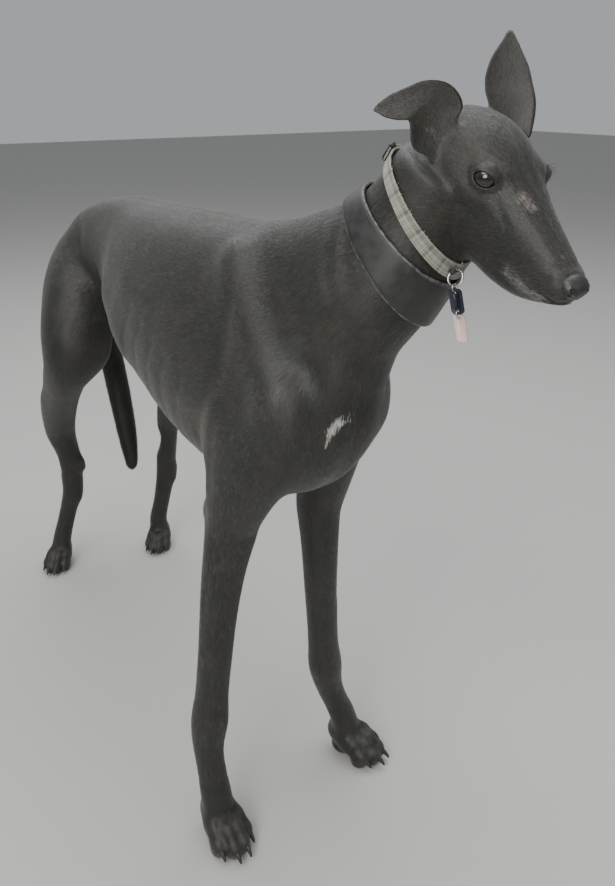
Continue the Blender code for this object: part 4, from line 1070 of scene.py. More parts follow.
def makeLidRims():
    mesh = bmesh.new()
    for side in (-1, 1):
        makeLidRim(mesh, side)
        inner = onHead((0.0088, 0.0262, 0.0028), side)
        ball(mesh, inner, (0.0011, 0.0008, 0.0009), headTurn, 10)
    return makeItem(mesh, "lidRims")


# Claws.

claws = {
    "radii": (0.0034, 0.0014),
    "length": 0.0130,
    "height": 0.0100,
    "drop": 38.0,
    "bow": 0.0011,
}


def makeClaw(mesh, name, toe):
    place, size = pawPlace(name)
    offset, reach = paws["toes"][toe]
    drop = math.radians(claws["drop"])
    ahead = Vector((math.cos(drop), 0, -math.sin(drop)))
    above = Vector((math.sin(drop), 0, math.cos(drop)))
    middle = Vector((reach * size + 0.0015, offset * 1.07 * size, claws["height"] * size))
    rings = []
    for k in range(13):
        t = k / 12
        radius = claws["radii"][0] + (claws["radii"][1] - claws["radii"][0]) * t**1.15
        radius *= size * (1 - max(0.0, (t - 0.86) / 0.16) ** 2) ** 0.5
        point = middle + ahead * (t - 0.5) * claws["length"] * size + above * claws["bow"] * 4 * t * (1 - t)
        ring = ringAt(point, Vector((0, 1, 0)), above, radius * 0.88, radius, radius * 1.12, count=18)
        rings.append([place @ p for p in ring])
    loft(mesh, rings)


# Collars.

straps = {
    "narrow": {
        "middle": (0.1738, 0.0352, 0.7442),
        "along": (0.722, 0.3875, 0.573),
        "half": (0.0056, 0.0056),
        "thick": 0.0020,
        "slack": (0.0010, 0.0022),
    },
    "wide": {
        "middle": (0.1528, 0.0210, 0.7176),
        "along": (0.640, 0.365, 0.676),
        "half": (0.0112, 0.0200),
        "thick": 0.0030,
        "slack": (0.0014, 0.0024),
    },
    "steps": 48,
    "fine": 288,
    "reach": 0.085,
}
fittings = {
    # Start and end angle from the nape toward the left, height over the strap, thickness, share of its width.
    "strapEnd": (-16.0, 48.0, 0.0007, 0.0016, 0.94),
    "slider": (-14.0, -4.0, 0.0003, 0.0040, 1.18),
    "sliderHole": (-18.0, 0.0, -0.0017, 0.0044, 1.00),
    "clasp": (52.0, 84.0, 0.0007, 0.0060, 1.15),
}


def hullReach(reach):
    # A strap spans hollows, so it follows the outline's convex hull.
    angles = 2 * np.pi * np.arange(len(reach)) / len(reach)
    points = np.stack([reach * np.cos(angles), reach * np.sin(angles)], 1)
    support = np.array([(points @ (np.cos(a), np.sin(a))).max() for a in angles])
    found = []
    for a in angles:
        lean = np.cos(angles - a)
        ahead = lean > 0.2
        found.append((support[ahead] / lean[ahead]).min())
    return np.array(found)


class Strap:
    # The closed course of a collar: angle 0 at the nape, growing toward the dog's left.
    def __init__(self, name, tree):
        rows = straps[name]
        self.middle = Vector(rows["middle"])
        self.along = Vector(rows["along"]).normalized()
        up = Vector((0, 0, 1))
        self.up = (up - self.along * up.dot(self.along)).normalized()
        self.left = self.up.cross(self.along).normalized()
        self.thick = rows["thick"]
        count = straps["steps"]
        angles = 2 * np.pi * np.arange(count) / count
        share = (1 - np.cos(angles)) / 2
        half = rows["half"][0] + (rows["half"][1] - rows["half"][0]) * share
        slack = rows["slack"][0] + (rows["slack"][1] - rows["slack"][0]) * share
        table = []
        for spot in (-1.0, -0.5, 0.1, 0.5, 1.0):
            reach = []
            for angle, wide in zip(angles, half):
                out = self.up * math.cos(angle) + self.left * math.sin(angle)
                start = self.middle + self.along * (spot * wide) + out * straps["reach"]
                reach.append(straps["reach"] - tree.ray_cast(start, -out)[3])
            table.append(hullReach(np.array(reach)) + slack)
        back, low, level, high, front = table
        over = [
            low - (0.75 * back + 0.25 * front), level - (back + front) / 2,
            high - (0.25 * back + 0.75 * front),
        ]
        lift = np.maximum(0, np.maximum.reduce(over))
        self.half = self.refine(half)
        self.back = self.refine(back + lift)
        self.front = self.refine(front + lift)

    def refine(self, values):
        fine = straps["fine"]
        spots = np.arange(fine) * len(values) / fine
        found = np.interp(spots, np.arange(len(values) + 1), np.append(values, values[0]))
        for _ in range(14):
            found = (np.roll(found, 1) + 2 * found + np.roll(found, -1)) / 4
        return found

    def at(self, angle, spot, lift):
        # A point at this angle, at this share of the half width, this far above the strap's inner face.
        place = (angle % (2 * math.pi)) / (2 * math.pi) * len(self.half)
        i = int(place) % len(self.half)
        j = (i + 1) % len(self.half)
        t = place - int(place)
        half, back, front = ((1 - t) * row[i] + t * row[j] for row in (self.half, self.back, self.front))
        reach = back + (front - back) * (spot + 1) / 2 + lift
        out = self.up * math.cos(angle) + self.left * math.sin(angle)
        return self.middle + self.along * (spot * half) + out * reach


def strapSection(thick, corner, crown, count=8):
    # Outline of a strap's cross section as share of the half width and height: rounded edges, crowned face.
    points = []
    for k in range(count + 1):
        t = -1 + 2 * k / count
        points.append((t * (1 - corner), 0.0))
    for k in range(1, 6):
        angle = math.pi * k / 6 - math.pi / 2
        points.append((1 - corner + corner * math.cos(angle), thick / 2 + thick / 2 * math.sin(angle)))
    for k in range(count + 1):
        t = 1 - 2 * k / count
        points.append((t * (1 - corner), thick + crown * (1 - t * t)))
    for k in range(1, 6):
        angle = math.pi / 2 + math.pi * k / 6
        points.append((-1 + corner + corner * math.cos(angle), thick / 2 + thick / 2 * math.sin(angle)))
    return points


def makeBand(strap, section, angles, low=0.0, share=1.0, whole=True, ripple=None):
    # "weave" keeps the length along the strap and the place across it, in metres.
    mesh = bmesh.new()
    stepLayer = mesh.verts.layers.int.new("step")
    rings, length = [], [0.0]
    for n, angle in enumerate(angles):
        lift = low + (ripple(angle) if ripple else 0.0)
        rings.append([strap.at(angle, share * spot, lift + rise) for spot, rise in section])
        if n:
            length.append(length[-1] + (rings[n][0] - rings[n - 1][0]).length)
    loops = []
    for n, ring in enumerate(rings):
        loops.append(addRing(mesh, ring))
        for k, edge in enumerate(loops[-1]):
            edge.verts[0][stepLayer] = n * len(section) + k
    pairs = list(zip(loops, loops[1:])) + ([(loops[-1], loops[0])] if whole else [])
    for first, second in pairs:
        bmesh.ops.bridge_loops(mesh, edges=first + second)
    if not whole:
        for loop in (loops[0], loops[-1]):
            bmesh.ops.edgenet_fill(mesh, edges=loop)
    closing = length[-1] + (rings[-1][0] - rings[0][0]).length
    weave = mesh.loops.layers.uv.new("weave")
    last = len(rings) - 1
    for face in mesh.faces:
        steps = [vert[stepLayer] // len(section) for vert in face.verts]
        wraps = whole and 0 in steps and last in steps
        for corner, n in zip(face.loops, steps):
            spot = section[corner.vert[stepLayer] % len(section)][0]
            run = closing if wraps and n == 0 else length[n]
            corner[weave].uv = (run, spot * share * strap.half[0])
    return makeItem(mesh, "band")


def ringBand(strap, corner, crown, ripple=None):
    angles = [2 * math.pi * k / straps["fine"] for k in range(straps["fine"])]
    return makeBand(strap, strapSection(strap.thick, corner, crown), angles, ripple=ripple)


def bandPiece(strap, name, corner=0.14, crown=0.0002, count=48):
    start, end, low, thick, share = fittings[name]
    angles = [math.radians(start + (end - start) * k / count) for k in range(count + 1)]
    base = strap.thick + 0.0003
    return makeBand(strap, strapSection(thick, corner, crown), angles, base + low, share, whole=False)


# Ring and tags.

hanging = {
    "loopAngle": 208,
    "loopStep": 0.4,
    "loopHalf": 0.0024,
    "loopPlay": 0.0008,
    "loopWall": 0.0012,
    "loopLift": 0.0022,
    "way": (0.114, 0.174, -1.0),
    "ringRadius": 0.0068,
    "ringWire": 0.0010,
    "linkRadius": 0.0032,
    "linkWire": 0.0005,
    "linkGap": 0.0005,
    "hole": 0.0016,
    "rim": 0.0013,
    "dark": {"width": 0.0115, "height": 0.0215, "thick": 0.0028, "corner": 0.0036},
    "pale": {"width": 0.0105, "height": 0.0235, "thick": 0.0018, "corner": 0.0030},
}


def torus(middle, axis, radius, wire, around=72, across=16):
    mesh = bmesh.new()
    axis = Vector(axis).normalized()
    place = Matrix.Translation(middle) @ axis.to_track_quat("Z", "Y").to_matrix().to_4x4()
    bmesh.ops.create_circle(
        mesh, radius=wire, segments=across,
        matrix=place @ Matrix.Translation((radius, 0, 0)) @ rotation(90, "X"),
    )
    bmesh.ops.spin(
        mesh, geom=mesh.verts[:] + mesh.edges[:], cent=middle, axis=axis, dvec=(0, 0, 0),
        angle=2 * math.pi, steps=around, use_merge=True,
    )
    bmesh.ops.remove_doubles(mesh, verts=mesh.verts, dist=1e-6)
    return makeItem(mesh, "torus")


def makeTag(top, face, sizes, lowerHole):
    down = Vector(hanging["way"]).normalized()
    across = down.cross(face).normalized()
    turn = turnTo(across, down, face)
    h, thick = sizes["height"], sizes["thick"]
    middle = top + down * (h / 2 - hanging["hole"] - hanging["rim"])
    mesh = bmesh.new()
    bmesh.ops.create_cube(mesh, size=1, matrix=Matrix.Diagonal((sizes["width"], h, thick, 1)))
    tall = [e for e in mesh.edges if abs(e.verts[0].co.z - e.verts[1].co.z) > thick / 2]
    bmesh.ops.bevel(
        mesh, geom=tall, offset=sizes["corner"], segments=12, profile=0.5, affect="EDGES", material=-1,
    )
    for sign in (-1, 1):
        flat = [f for f in mesh.faces if f.normal.z * sign > 0.9]
        bmesh.ops.inset_region(mesh, faces=flat, thickness=0.0009, depth=0.0)
        flat = [f for f in mesh.faces if f.normal.z * sign > 0.9 and f.calc_area() > 0.5 * sizes["width"] * h]
        bmesh.ops.inset_region(mesh, faces=flat, thickness=0.0002, depth=-0.00025)
    flatEdge = [e for e in mesh.edges if all(abs(abs(v.co.z) - thick / 2) < 1e-7 for v in e.verts)]
    outer = [e for e in flatEdge if any(abs(f.normal.z) < 0.1 for f in e.link_faces)]
    bmesh.ops.bevel(
        mesh, geom=outer, offset=thick * 0.22, segments=4, profile=0.5, affect="EDGES", material=-1,
    )
    bmesh.ops.transform(mesh, matrix=Matrix.Translation(middle) @ turn, verts=mesh.verts)
    item = makeItem(mesh, "tag")
    holes = [top]
    if lowerHole:
        holes.append(top + down * (h - 2 * hanging["hole"] - 2 * hanging["rim"]))
    for hole in holes:
        mesh = bmesh.new()
        bmesh.ops.create_cone(
            mesh, cap_ends=True, segments=32, radius1=hanging["hole"], radius2=hanging["hole"],
            depth=thick * 3, matrix=Matrix.Translation(hole) @ turn,
        )
        carve(item, makeItem(mesh, "hole"))
    return item, holes[-1]


def makeLoop(strap, loopMiddle, out, side):
    wire = hanging["ringWire"]
    inner = wire + hanging["loopPlay"]
    outer, deep = inner + hanging["loopWall"], wire
    rings = []
    for k in range(9):
        spot = hanging["loopHalf"] * (2 * k / 8 - 1)
        shell, hollow = [], []
        trim = 0.00018 if k in (0, 8) else 0.0
        for n in range(25):
            angle = math.pi * n / 24
            shell.append(((outer - trim) * math.cos(angle), (outer - trim) * math.sin(angle)))
            hollow.append(((inner + trim) * math.cos(angle), (inner + trim) * math.sin(angle)))
        shape = [(outer - trim, -deep)] + shell + [(-outer + trim, -deep), (-inner - trim, -deep)]
        shape += hollow[::-1] + [(inner + trim, -deep)]
        centre = loopMiddle + strap.along * spot
        rings.append([centre + side * a + out * b for a, b in shape])
    mesh = bmesh.new()
    loft(mesh, rings)
    splitWide(mesh)
    return makeItem(mesh, "loop")


def makeHanging(strap):
    # A sewn loop, the ring through it and two tags below, swung as in a stride.
    throat = math.radians(hanging["loopAngle"])
    out = (strap.at(throat, 0, 1) - strap.at(throat, 0, 0)).normalized()
    base = strap.at(throat, hanging["loopStep"], strap.thick)
    loopMiddle = base + out * (hanging["ringWire"] + hanging["loopLift"])
    side = out.cross(strap.along).normalized()
    pieces = {"collar_loop": makeLoop(strap, loopMiddle, out, side)}
    middle = loopMiddle + out * hanging["ringRadius"]
    pieces["collar_ring"] = torus(middle, side, hanging["ringRadius"], hanging["ringWire"])
    down = Vector(hanging["way"]).normalized()
    steepest = (down - side * down.dot(side)).normalized()
    low = middle + steepest * hanging["ringRadius"]
    across = side.cross(steepest).normalized()
    face = down.cross(across).normalized()
    wire, reach, gap = hanging["linkWire"], hanging["linkRadius"], hanging["linkGap"]
    linkMiddle = low + down * (reach - hanging["ringWire"] - wire - gap)
    pieces["tag_link_upper"] = torus(linkMiddle, across, reach, wire, 48, 12)
    drop = reach + hanging["hole"] - wire - gap
    pieces["tag_dark"], hole = makeTag(linkMiddle + down * drop, face, hanging["dark"], True)
    linkMiddle = hole + down * (reach - (hanging["hole"] - wire - gap))
    pieces["tag_link_lower"] = torus(linkMiddle, across, reach, wire, 48, 12)
    pieces["tag_pale"] = makeTag(linkMiddle + down * drop, face, hanging["pale"], False)[0]
    return pieces


# Shader tools.


def addNode(tree, kind, inputs=None, **settings):
    node = tree.nodes.new(kind)
    for key, value in settings.items():
        setattr(node, key, value)
    for key, value in (inputs or {}).items():
        socket = node.inputs[key]
        if isinstance(value, bpy.types.NodeSocket):
            tree.links.new(value, socket)
        else:
            socket.default_value = value
    return node


def maths(tree, operation, a, b=0.0, c=0.0, clamp=False):
    return addNode(
        tree, "ShaderNodeMath", {0: a, 1: b, 2: c}, operation=operation, use_clamp=clamp,
    ).outputs[0]


def vectorMaths(tree, operation, a, b=(0.0, 0.0, 0.0)):
    return addNode(tree, "ShaderNodeVectorMath", {0: a, 1: b}, operation=operation)


def scaled(tree, vector, factor):
    return addNode(tree, "ShaderNodeVectorMath", {0: vector, "Scale": factor}, operation="SCALE").outputs[0]


def partsOf(tree, vector):
    return addNode(tree, "ShaderNodeSeparateXYZ", {0: vector}).outputs


def mapped(tree, vector, scale, turn=(0, 0, 0)):
    values = {"Vector": vector, "Rotation": turn, "Scale": scale}
    return addNode(tree, "ShaderNodeMapping", values).outputs[0]


def spread(tree, value, low, high, floor=0.0, top=1.0, smooth=True):
    kind = "SMOOTHSTEP" if smooth else "LINEAR"
    values = {"Value": value, "From Min": low, "From Max": high, "To Min": floor, "To Max": top}
    return addNode(tree, "ShaderNodeMapRange", values, interpolation_type=kind).outputs["Result"]


def noise(tree, vector, scale, detail=3.0, rough=0.5):
    values = {"Vector": vector, "Scale": scale, "Detail": detail, "Roughness": rough}
    return addNode(tree, "ShaderNodeTexNoise", values).outputs[0]


def blend(tree, share, first, second, kind="MIX"):
    node = addNode(tree, "ShaderNodeMix", data_type="RGBA", blend_type=kind)
    for index, value in ((0, share), (6, first), (7, second)):
        if isinstance(value, bpy.types.NodeSocket):
            tree.links.new(value, node.inputs[index])
        else:
            node.inputs[index].default_value = value if index == 0 else (*value, 1)
    return node.outputs[2]


def ramp(tree, value, stops, kind="LINEAR"):
    node = addNode(tree, "ShaderNodeValToRGB", {0: value})
    node.color_ramp.interpolation = kind
    for n, (place, colour) in enumerate(stops):
        element = node.color_ramp.elements[n] if n < 2 else node.color_ramp.elements.new(place)
        element.position = place
        element.color = (*colour, 1)
    return node.outputs[0]


def newGroup(name, inputs, outputs):
    tree = bpy.data.node_groups.new(name, "ShaderNodeTree")
    for label, kind, value in inputs:
        socket = tree.interface.new_socket(name=label, in_out="INPUT", socket_type=kind)
        socket.default_value = value
    for label, kind in outputs:
        tree.interface.new_socket(name=label, in_out="OUTPUT", socket_type=kind)
    start, end = tree.nodes.new("NodeGroupInput"), tree.nodes.new("NodeGroupOutput")
    return tree, start.outputs, end.inputs


def useGroup(tree, group, inputs):
    node = tree.nodes.new("ShaderNodeGroup")
    node.node_tree = group
    for key, value in inputs.items():
        if isinstance(value, bpy.types.NodeSocket):
            tree.links.new(value, node.inputs[key])
        else:
            node.inputs[key].default_value = value
    return node.outputs


def makeMarkGroup():
    # Share of a mark that runs from Start to End with a ragged rim.
    inputs = [
        ("Point", "NodeSocketVector", (0, 0, 0)),
        ("Start", "NodeSocketVector", (0, 0, 0)),
        ("End", "NodeSocketVector", (0, 0, 0)),
        ("Radius", "NodeSocketFloat", 0.005),
        ("Taper", "NodeSocketFloat", 1.0),
        ("Ragged", "NodeSocketFloat", 0.3),
    ]
    tree, start, end = newGroup("mark", inputs, [("Mask", "NodeSocketFloat")])
    reach = vectorMaths(tree, "SUBTRACT", start["Point"], start["Start"]).outputs[0]
    span = vectorMaths(tree, "SUBTRACT", start["End"], start["Start"]).outputs[0]
    share = maths(
        tree, "DIVIDE", vectorMaths(tree, "DOT_PRODUCT", reach, span).outputs["Value"],
        vectorMaths(tree, "DOT_PRODUCT", span, span).outputs["Value"], clamp=True,
    )
    along = scaled(tree, span, share)
    away = vectorMaths(tree, "SUBTRACT", reach, along)
    far = vectorMaths(tree, "LENGTH", away.outputs[0]).outputs["Value"]
    wide = maths(tree, "MULTIPLY", start["Radius"], spread(tree, share, 0.0, 1.0, 1.0, start["Taper"], False))
    ragged = noise(tree, start["Point"], 430.0, 4.0, 0.6)
    jag = maths(tree, "MULTIPLY_ADD", maths(tree, "SUBTRACT", ragged, 0.5), start["Ragged"], 1.0)
    near = maths(tree, "DIVIDE", far, maths(tree, "MULTIPLY", wide, jag))
    tree.links.new(spread(tree, near, 1.75, 0.15), end["Mask"])
    return tree


def makeGrainGroup():
    # Rounded pebbles with fine creases between them.
    inputs = [("Point", "NodeSocketVector", (0, 0, 0)), ("Scale", "NodeSocketFloat", 900.0)]
    tree, start, end = newGroup(
        "grain", inputs, [("Height", "NodeSocketFloat"), ("Value", "NodeSocketFloat")],
    )
    shift = noise(tree, start["Point"], 300.0, 2.0)
    moved = vectorMaths(tree, "ADD", start["Point"], scaled(tree, shift, 0.0012)).outputs[0]
    cells = addNode(
        tree, "ShaderNodeTexVoronoi", {"Vector": moved, "Scale": start["Scale"]}, feature="SMOOTH_F1",
    )
    tree.links.new(spread(tree, cells.outputs["Distance"], 0.15, 0.75, 1.0, 0.0), end["Height"])
    tree.links.new(noise(tree, start["Point"], 120.0, 4.0), end["Value"])
    return tree


def makeHairGroup():
    # Fine streaks along three ways of the coat: back to tail, down the legs, and down the neck.
    inputs = [("Point", "NodeSocketVector", (0, 0, 0))]
    tree, start, end = newGroup(
        "hairs", inputs, [("Height", "NodeSocketFloat"), ("Value", "NodeSocketFloat")],
    )
    parts = partsOf(tree, start["Point"])
    ways = []
    for scale, turn in (
        ((90, 1300, 1300), (0, 0.15, 0)),
        ((1300, 1300, 90), (0, 0, 0)),
        ((100, 1500, 1500), (0, -0.75, 0.5)),
    ):
        ways.append(noise(tree, mapped(tree, start["Point"], scale, turn), 1.0, 2.0, 0.6))
    low = spread(tree, parts[2], 0.40, 0.48)
    ahead = spread(tree, parts[0], 0.26, 0.34)
    pair = addNode(tree, "ShaderNodeMix", {0: low, 2: ways[1], 3: ways[0]}, data_type="FLOAT").outputs[0]
    mixed = addNode(tree, "ShaderNodeMix", {0: ahead, 2: pair, 3: ways[2]}, data_type="FLOAT").outputs[0]
    tree.links.new(mixed, end["Height"])
    tree.links.new(noise(tree, start["Point"], 26.0, 4.0, 0.6), end["Value"])
    return tree


markGroup, grainGroup, hairGroup = makeMarkGroup(), makeGrainGroup(), makeHairGroup()


def newMaterial(name, **values):
    material = bpy.data.materials.new(name)
    material.use_nodes = True
    tree = material.node_tree
    shader = tree.nodes["Principled BSDF"]
    for key, value in values.items():
        shader.inputs[key.replace("_", " ")].default_value = value
    return material, tree, shader


def objectPoint(tree):
    return addNode(tree, "ShaderNodeTexCoord").outputs["Object"]


def paint(tree, shader, colour, rough=None):
    tree.links.new(colour, shader.inputs["Base Color"])
    if rough is not None:
        tree.links.new(rough, shader.inputs["Roughness"])


def addBump(tree, shader, height, strength, distance):
    values = {"Height": height, "Strength": strength, "Distance": distance}
    tree.links.new(addNode(tree, "ShaderNodeBump", values).outputs[0], shader.inputs["Normal"])


# Materials.

coatLook = {
    "black": (0.0205, 0.0205, 0.0185),
    "worn": (0.0400, 0.0360, 0.0290),
    "brown": (0.098, 0.077, 0.056),
    # Painted sheen: a lighter grey laid along the ears in place of their sheen and the light through them.
    "paintedEarSheen": (0.060, 0.057, 0.052),
    "white": (0.50, 0.49, 0.45),
    "frost": (0.30, 0.295, 0.28),
    "scar": (0.29, 0.245, 0.225),
    # Painted sheen on the ears: colour, radius and strength of the lighter band along each ear.
    "ears": ("paintedEarSheen", 0.026, 0.80),
    # Colour, start, end, radius, taper, raggedness, strength.
    "marks": [
        ("brown", (-0.075, -0.104, 0.520), (0.020, -0.100, 0.520), 0.024, 1.0, 0.7, 0.42),
        ("brown", (-0.075, 0.068, 0.520), (0.020, 0.064, 0.520), 0.024, 1.0, 0.7, 0.42),
        ("brown", (-0.100, -0.020, 0.436), (0.020, -0.020, 0.432), 0.040, 0.8, 0.7, 0.40),
        ("brown", (-0.012, -0.100, 0.436), (0.002, -0.108, 0.404), 0.013, 0.8, 0.8, 0.60),
        ("brown", (-0.026, 0.046, 0.430), (-0.016, 0.056, 0.400), 0.012, 0.8, 0.8, 0.55),
        ("worn", (-0.488, -0.0613, 0.6448), (-0.4495, -0.0744, 0.6039), 0.0035, 1.0, 0.9, 0.70),
        ("worn", (-0.4495, -0.0744, 0.6039), (-0.4231, -0.0646, 0.5829), 0.0035, 1.0, 0.9, 0.70),
        ("worn", (-0.488, 0.0613, 0.6448), (-0.4495, 0.0744, 0.6039), 0.0035, 1.0, 0.9, 0.70),
        ("white", (0.1347, -0.0431, 0.5330), (0.1398, -0.0393, 0.5520), 0.0012, 3.20, 0.50, 0.80),
        ("white", (0.1390, -0.0393, 0.5515), (0.1430, -0.0340, 0.5605), 0.0054, 0.85, 0.90, 0.84),
        ("white", (0.1430, -0.0340, 0.5600), (0.1452, -0.0315, 0.5660), 0.0042, 0.50, 1.10, 0.58),
        ("white", (0.1429, -0.0345, 0.5585), (0.1462, -0.0245, 0.5605), 0.0034, 0.60, 1.00, 0.60),
        ("white", (0.1460, -0.0250, 0.5600), (0.1470, -0.0165, 0.5550), 0.0024, 0.60, 0.90, 0.62),
        ("white", (0.1468, -0.0267, 0.5610), (0.1478, -0.0240, 0.5701), 0.0023, 0.60, 0.90, 0.56),
        ("white", (0.1466, -0.0215, 0.5590), (0.1495, -0.0185, 0.5740), 0.0023, 0.50, 0.90, 0.56),
        ("white", (0.1470, -0.0170, 0.5560), (0.1484, -0.0110, 0.5690), 0.0022, 0.50, 0.90, 0.52),
        ("scar", (0.2675, 0.0408, 0.7672), (0.2745, 0.0436, 0.7612), 0.0064, 0.8, 1.2, 0.62),
        ("white", (0.2530, 0.0288, 0.7712), (0.2540, 0.0293, 0.7700), 0.0011, 1.0, 0.5, 0.80),
        ("frost", (0.3036, 0.0460, 0.7292), (0.3046, 0.0464, 0.7280), 0.0014, 1.0, 0.6, 0.60),
        ("frost", (0.2650, 0.0330, 0.7110), (0.2780, 0.0346, 0.7030), 0.0074, 1.15, 1.4, 0.56),
        ("frost", (0.2780, 0.0346, 0.7030), (0.2930, 0.0366, 0.6965), 0.0078, 0.8, 1.4, 0.56),
        ("frost", (0.2700, 0.0790, 0.7120), (0.2950, 0.0700, 0.6980), 0.0060, 0.9, 1.4, 0.38),
        ("frost", (0.2750, 0.0560, 0.6840), (0.2980, 0.0540, 0.6880), 0.0080, 0.9, 1.4, 0.36),
        ("brown", (0.1950, -0.0020, 0.8230), (0.1958, 0.0100, 0.8140), 0.0055, 1.0, 1.5, 0.48),
        ("frost", (0.1955, 0.0091, 0.8146), (0.1978, 0.0185, 0.8065), 0.0048, 0.8, 1.6, 0.34),
    ],
}


def makeCoatMaterial():
    material, tree, shader = newMaterial(
        "coat", Sheen_Weight=0.22, Sheen_Roughness=0.42, Specular_IOR_Level=0.42,
    )
    shader.inputs["Sheen Tint"].default_value = (0.92, 0.93, 0.90, 1)
    point = objectPoint(tree)
    # Each blade has its own tone, so that a mark is made of light hairs among dark ones.
    tone = addNode(tree, "ShaderNodeAttribute", attribute_name="tone").outputs["Fac"]
    hairs = useGroup(tree, hairGroup, {"Point": point})
    share = spread(tree, hairs["Value"], 0.42, 0.72)
    strand = spread(tree, hairs["Height"], 0.30, 0.70)
    colour = blend(tree, maths(tree, "MULTIPLY", share, 0.45), coatLook["black"], coatLook["worn"])
    colour = blend(
        tree, 1.0, colour, ramp(tree, strand, [(0.0, (0.55, 0.55, 0.55)), (1.0, (1.45, 1.42, 1.36))]),
        "MULTIPLY",
    )
    bright = spread(tree, tone, 0.0, 1.0, 0.78, 1.28, False)
    colour = scaled(tree, colour, bright)
    marks = list(coatLook["marks"])
    # Painted sheen: two marks along each ear lighten it, standing in for sheen and light through the ear.
    tint, radius, strength = coatLook["ears"]
    for rows in (ears["left"], ears["right"]):
        for low, high in ((2, 4), (4, 7)):
            start, end = onHead(rows[low][:3]), onHead(rows[high][:3])
            marks.insert(0, (tint, start, end, radius, 0.8, 0.3, strength))
    for tint, start, end, radius, taper, ragged, strength in marks:
        values = {"Point": point, "Radius": radius, "Taper": taper, "Ragged": ragged}
        values["Start"], values["End"] = Vector(start) + rowShift, Vector(end) + rowShift
        mask = useGroup(tree, markGroup, values)["Mask"]
        mask = maths(tree, "MULTIPLY_ADD", tone, -0.85, maths(tree, "MULTIPLY", mask, 1.25 * strength))
        colour = blend(tree, spread(tree, mask, 0.0, 0.80), colour, coatLook[tint])
    paint(tree, shader, colour, spread(tree, share, 0.0, 1.0, 0.44, 0.56))
    addBump(tree, shader, hairs["Height"], 0.55, 0.0005)
    return material


def makeNoseMaterial():
    material, tree, shader = newMaterial("noseSkin", Specular_IOR_Level=0.5)
    grain = useGroup(tree, grainGroup, {"Point": objectPoint(tree), "Scale": 1250.0})
    shade = ramp(tree, grain["Height"], [(0.0, (0.010, 0.010, 0.010)), (1.0, (0.022, 0.021, 0.021))])
    paint(tree, shader, shade, spread(tree, grain["Value"], 0.3, 0.7, 0.28, 0.46))
    addBump(tree, shader, grain["Height"], 0.45, 0.00025)
    return material


def makeEyeMaterial():
    material, tree, shader = newMaterial(
        "eye", Coat_Weight=0.8, Coat_Roughness=0.14, Roughness=0.15, Specular_IOR_Level=0.4,
    )
    polar = addNode(tree, "ShaderNodeAttribute", attribute_name="polar").outputs["Fac"]
    point = objectPoint(tree)
    fleck = noise(tree, point, 900.0, 4.0, 0.6)
    iris = ramp(tree, fleck, [(0.25, (0.006, 0.003, 0.002)), (0.75, (0.024, 0.010, 0.005))])
    white = ramp(
        tree, noise(tree, point, 500.0, 3.0), [(0.3, (0.030, 0.021, 0.017)), (0.8, (0.085, 0.065, 0.055))],
    )
    colour = blend(tree, spread(tree, polar, 0.40, 0.46), (0.002, 0.002, 0.002), iris)
    colour = blend(tree, spread(tree, polar, 0.66, 0.78), colour, (0.004, 0.003, 0.002))
    colour = blend(tree, spread(tree, polar, 0.86, 1.02), colour, white)
    paint(tree, shader, colour)
    return material


def makeClawMaterial():
    material, tree, shader = newMaterial("claw", Specular_IOR_Level=0.45)
    point = objectPoint(tree)
    value = noise(tree, mapped(tree, point, (300, 300, 1800)), 1.0, 4.0, 0.6)
    shade = ramp(tree, value, [(0.3, (0.010, 0.009, 0.008)), (0.75, (0.040, 0.035, 0.029))])
    paint(tree, shader, shade, spread(tree, value, 0.3, 0.7, 0.32, 0.52))
    addBump(tree, shader, value, 0.4, 0.0002)
    return material


plaidLook = {
    "cream": (0.34, 0.33, 0.285),
    "grey": (0.105, 0.120, 0.105),
    "tan": (0.23, 0.150, 0.080),
    "stone": (0.23, 0.23, 0.20),
    "repeat": 0.0175,
    "thread": 0.00042,
}


def makePlaidMaterial():
    material, tree, shader = newMaterial("plaid", Sheen_Weight=0.15, Roughness=0.85, Specular_IOR_Level=0.2)
    weave = addNode(tree, "ShaderNodeUVMap", uv_map="weave").outputs[0]
    parts = partsOf(tree, weave)
    look = plaidLook
    stops = [
        (0.00, look["cream"]), (0.16, look["stone"]), (0.24, look["cream"]), (0.30, look["tan"]), (
            0.35, look["cream"],
        ),
        (0.50, look["grey"]), (0.68, look["cream"]), (0.74, look["grey"]), (
            0.78, look["cream"],
        ), (0.90, look["tan"]),
        (0.94, look["cream"]),
    ]
    colours = []
    for axis, shift in ((0, 0.0), (1, 0.42)):
        place = maths(tree, "FRACT", maths(tree, "MULTIPLY_ADD", parts[axis], 1 / look["repeat"], shift))
        colours.append(ramp(tree, place, stops, "CONSTANT"))
    threads = []
    for axis in (0, 1):
        threads.append(maths(tree, "MULTIPLY", parts[axis], 1 / look["thread"]))
    twill = maths(tree, "SINE", maths(tree, "MULTIPLY", maths(tree, "ADD", *threads), math.pi))
    over = spread(tree, twill, -0.4, 0.4)
    colour = blend(tree, over, colours[0], colours[1])
    dirt = noise(tree, objectPoint(tree), 130.0, 4.0, 0.6)
    colour = blend(tree, spread(tree, dirt, 0.45, 0.75, 0.0, 0.45), colour, (0.17, 0.145, 0.11))
    paint(tree, shader, colour)
    ridges = []
    for thread in threads:
        wave = maths(tree, "SINE", maths(tree, "MULTIPLY", thread, math.pi))
        ridges.append(maths(tree, "ABSOLUTE", wave))
    height = maths(tree, "ADD", maths(tree, "MAXIMUM", *ridges), maths(tree, "MULTIPLY", over, 0.6))
    addBump(tree, shader, height, 0.7, 0.00022)
    return material


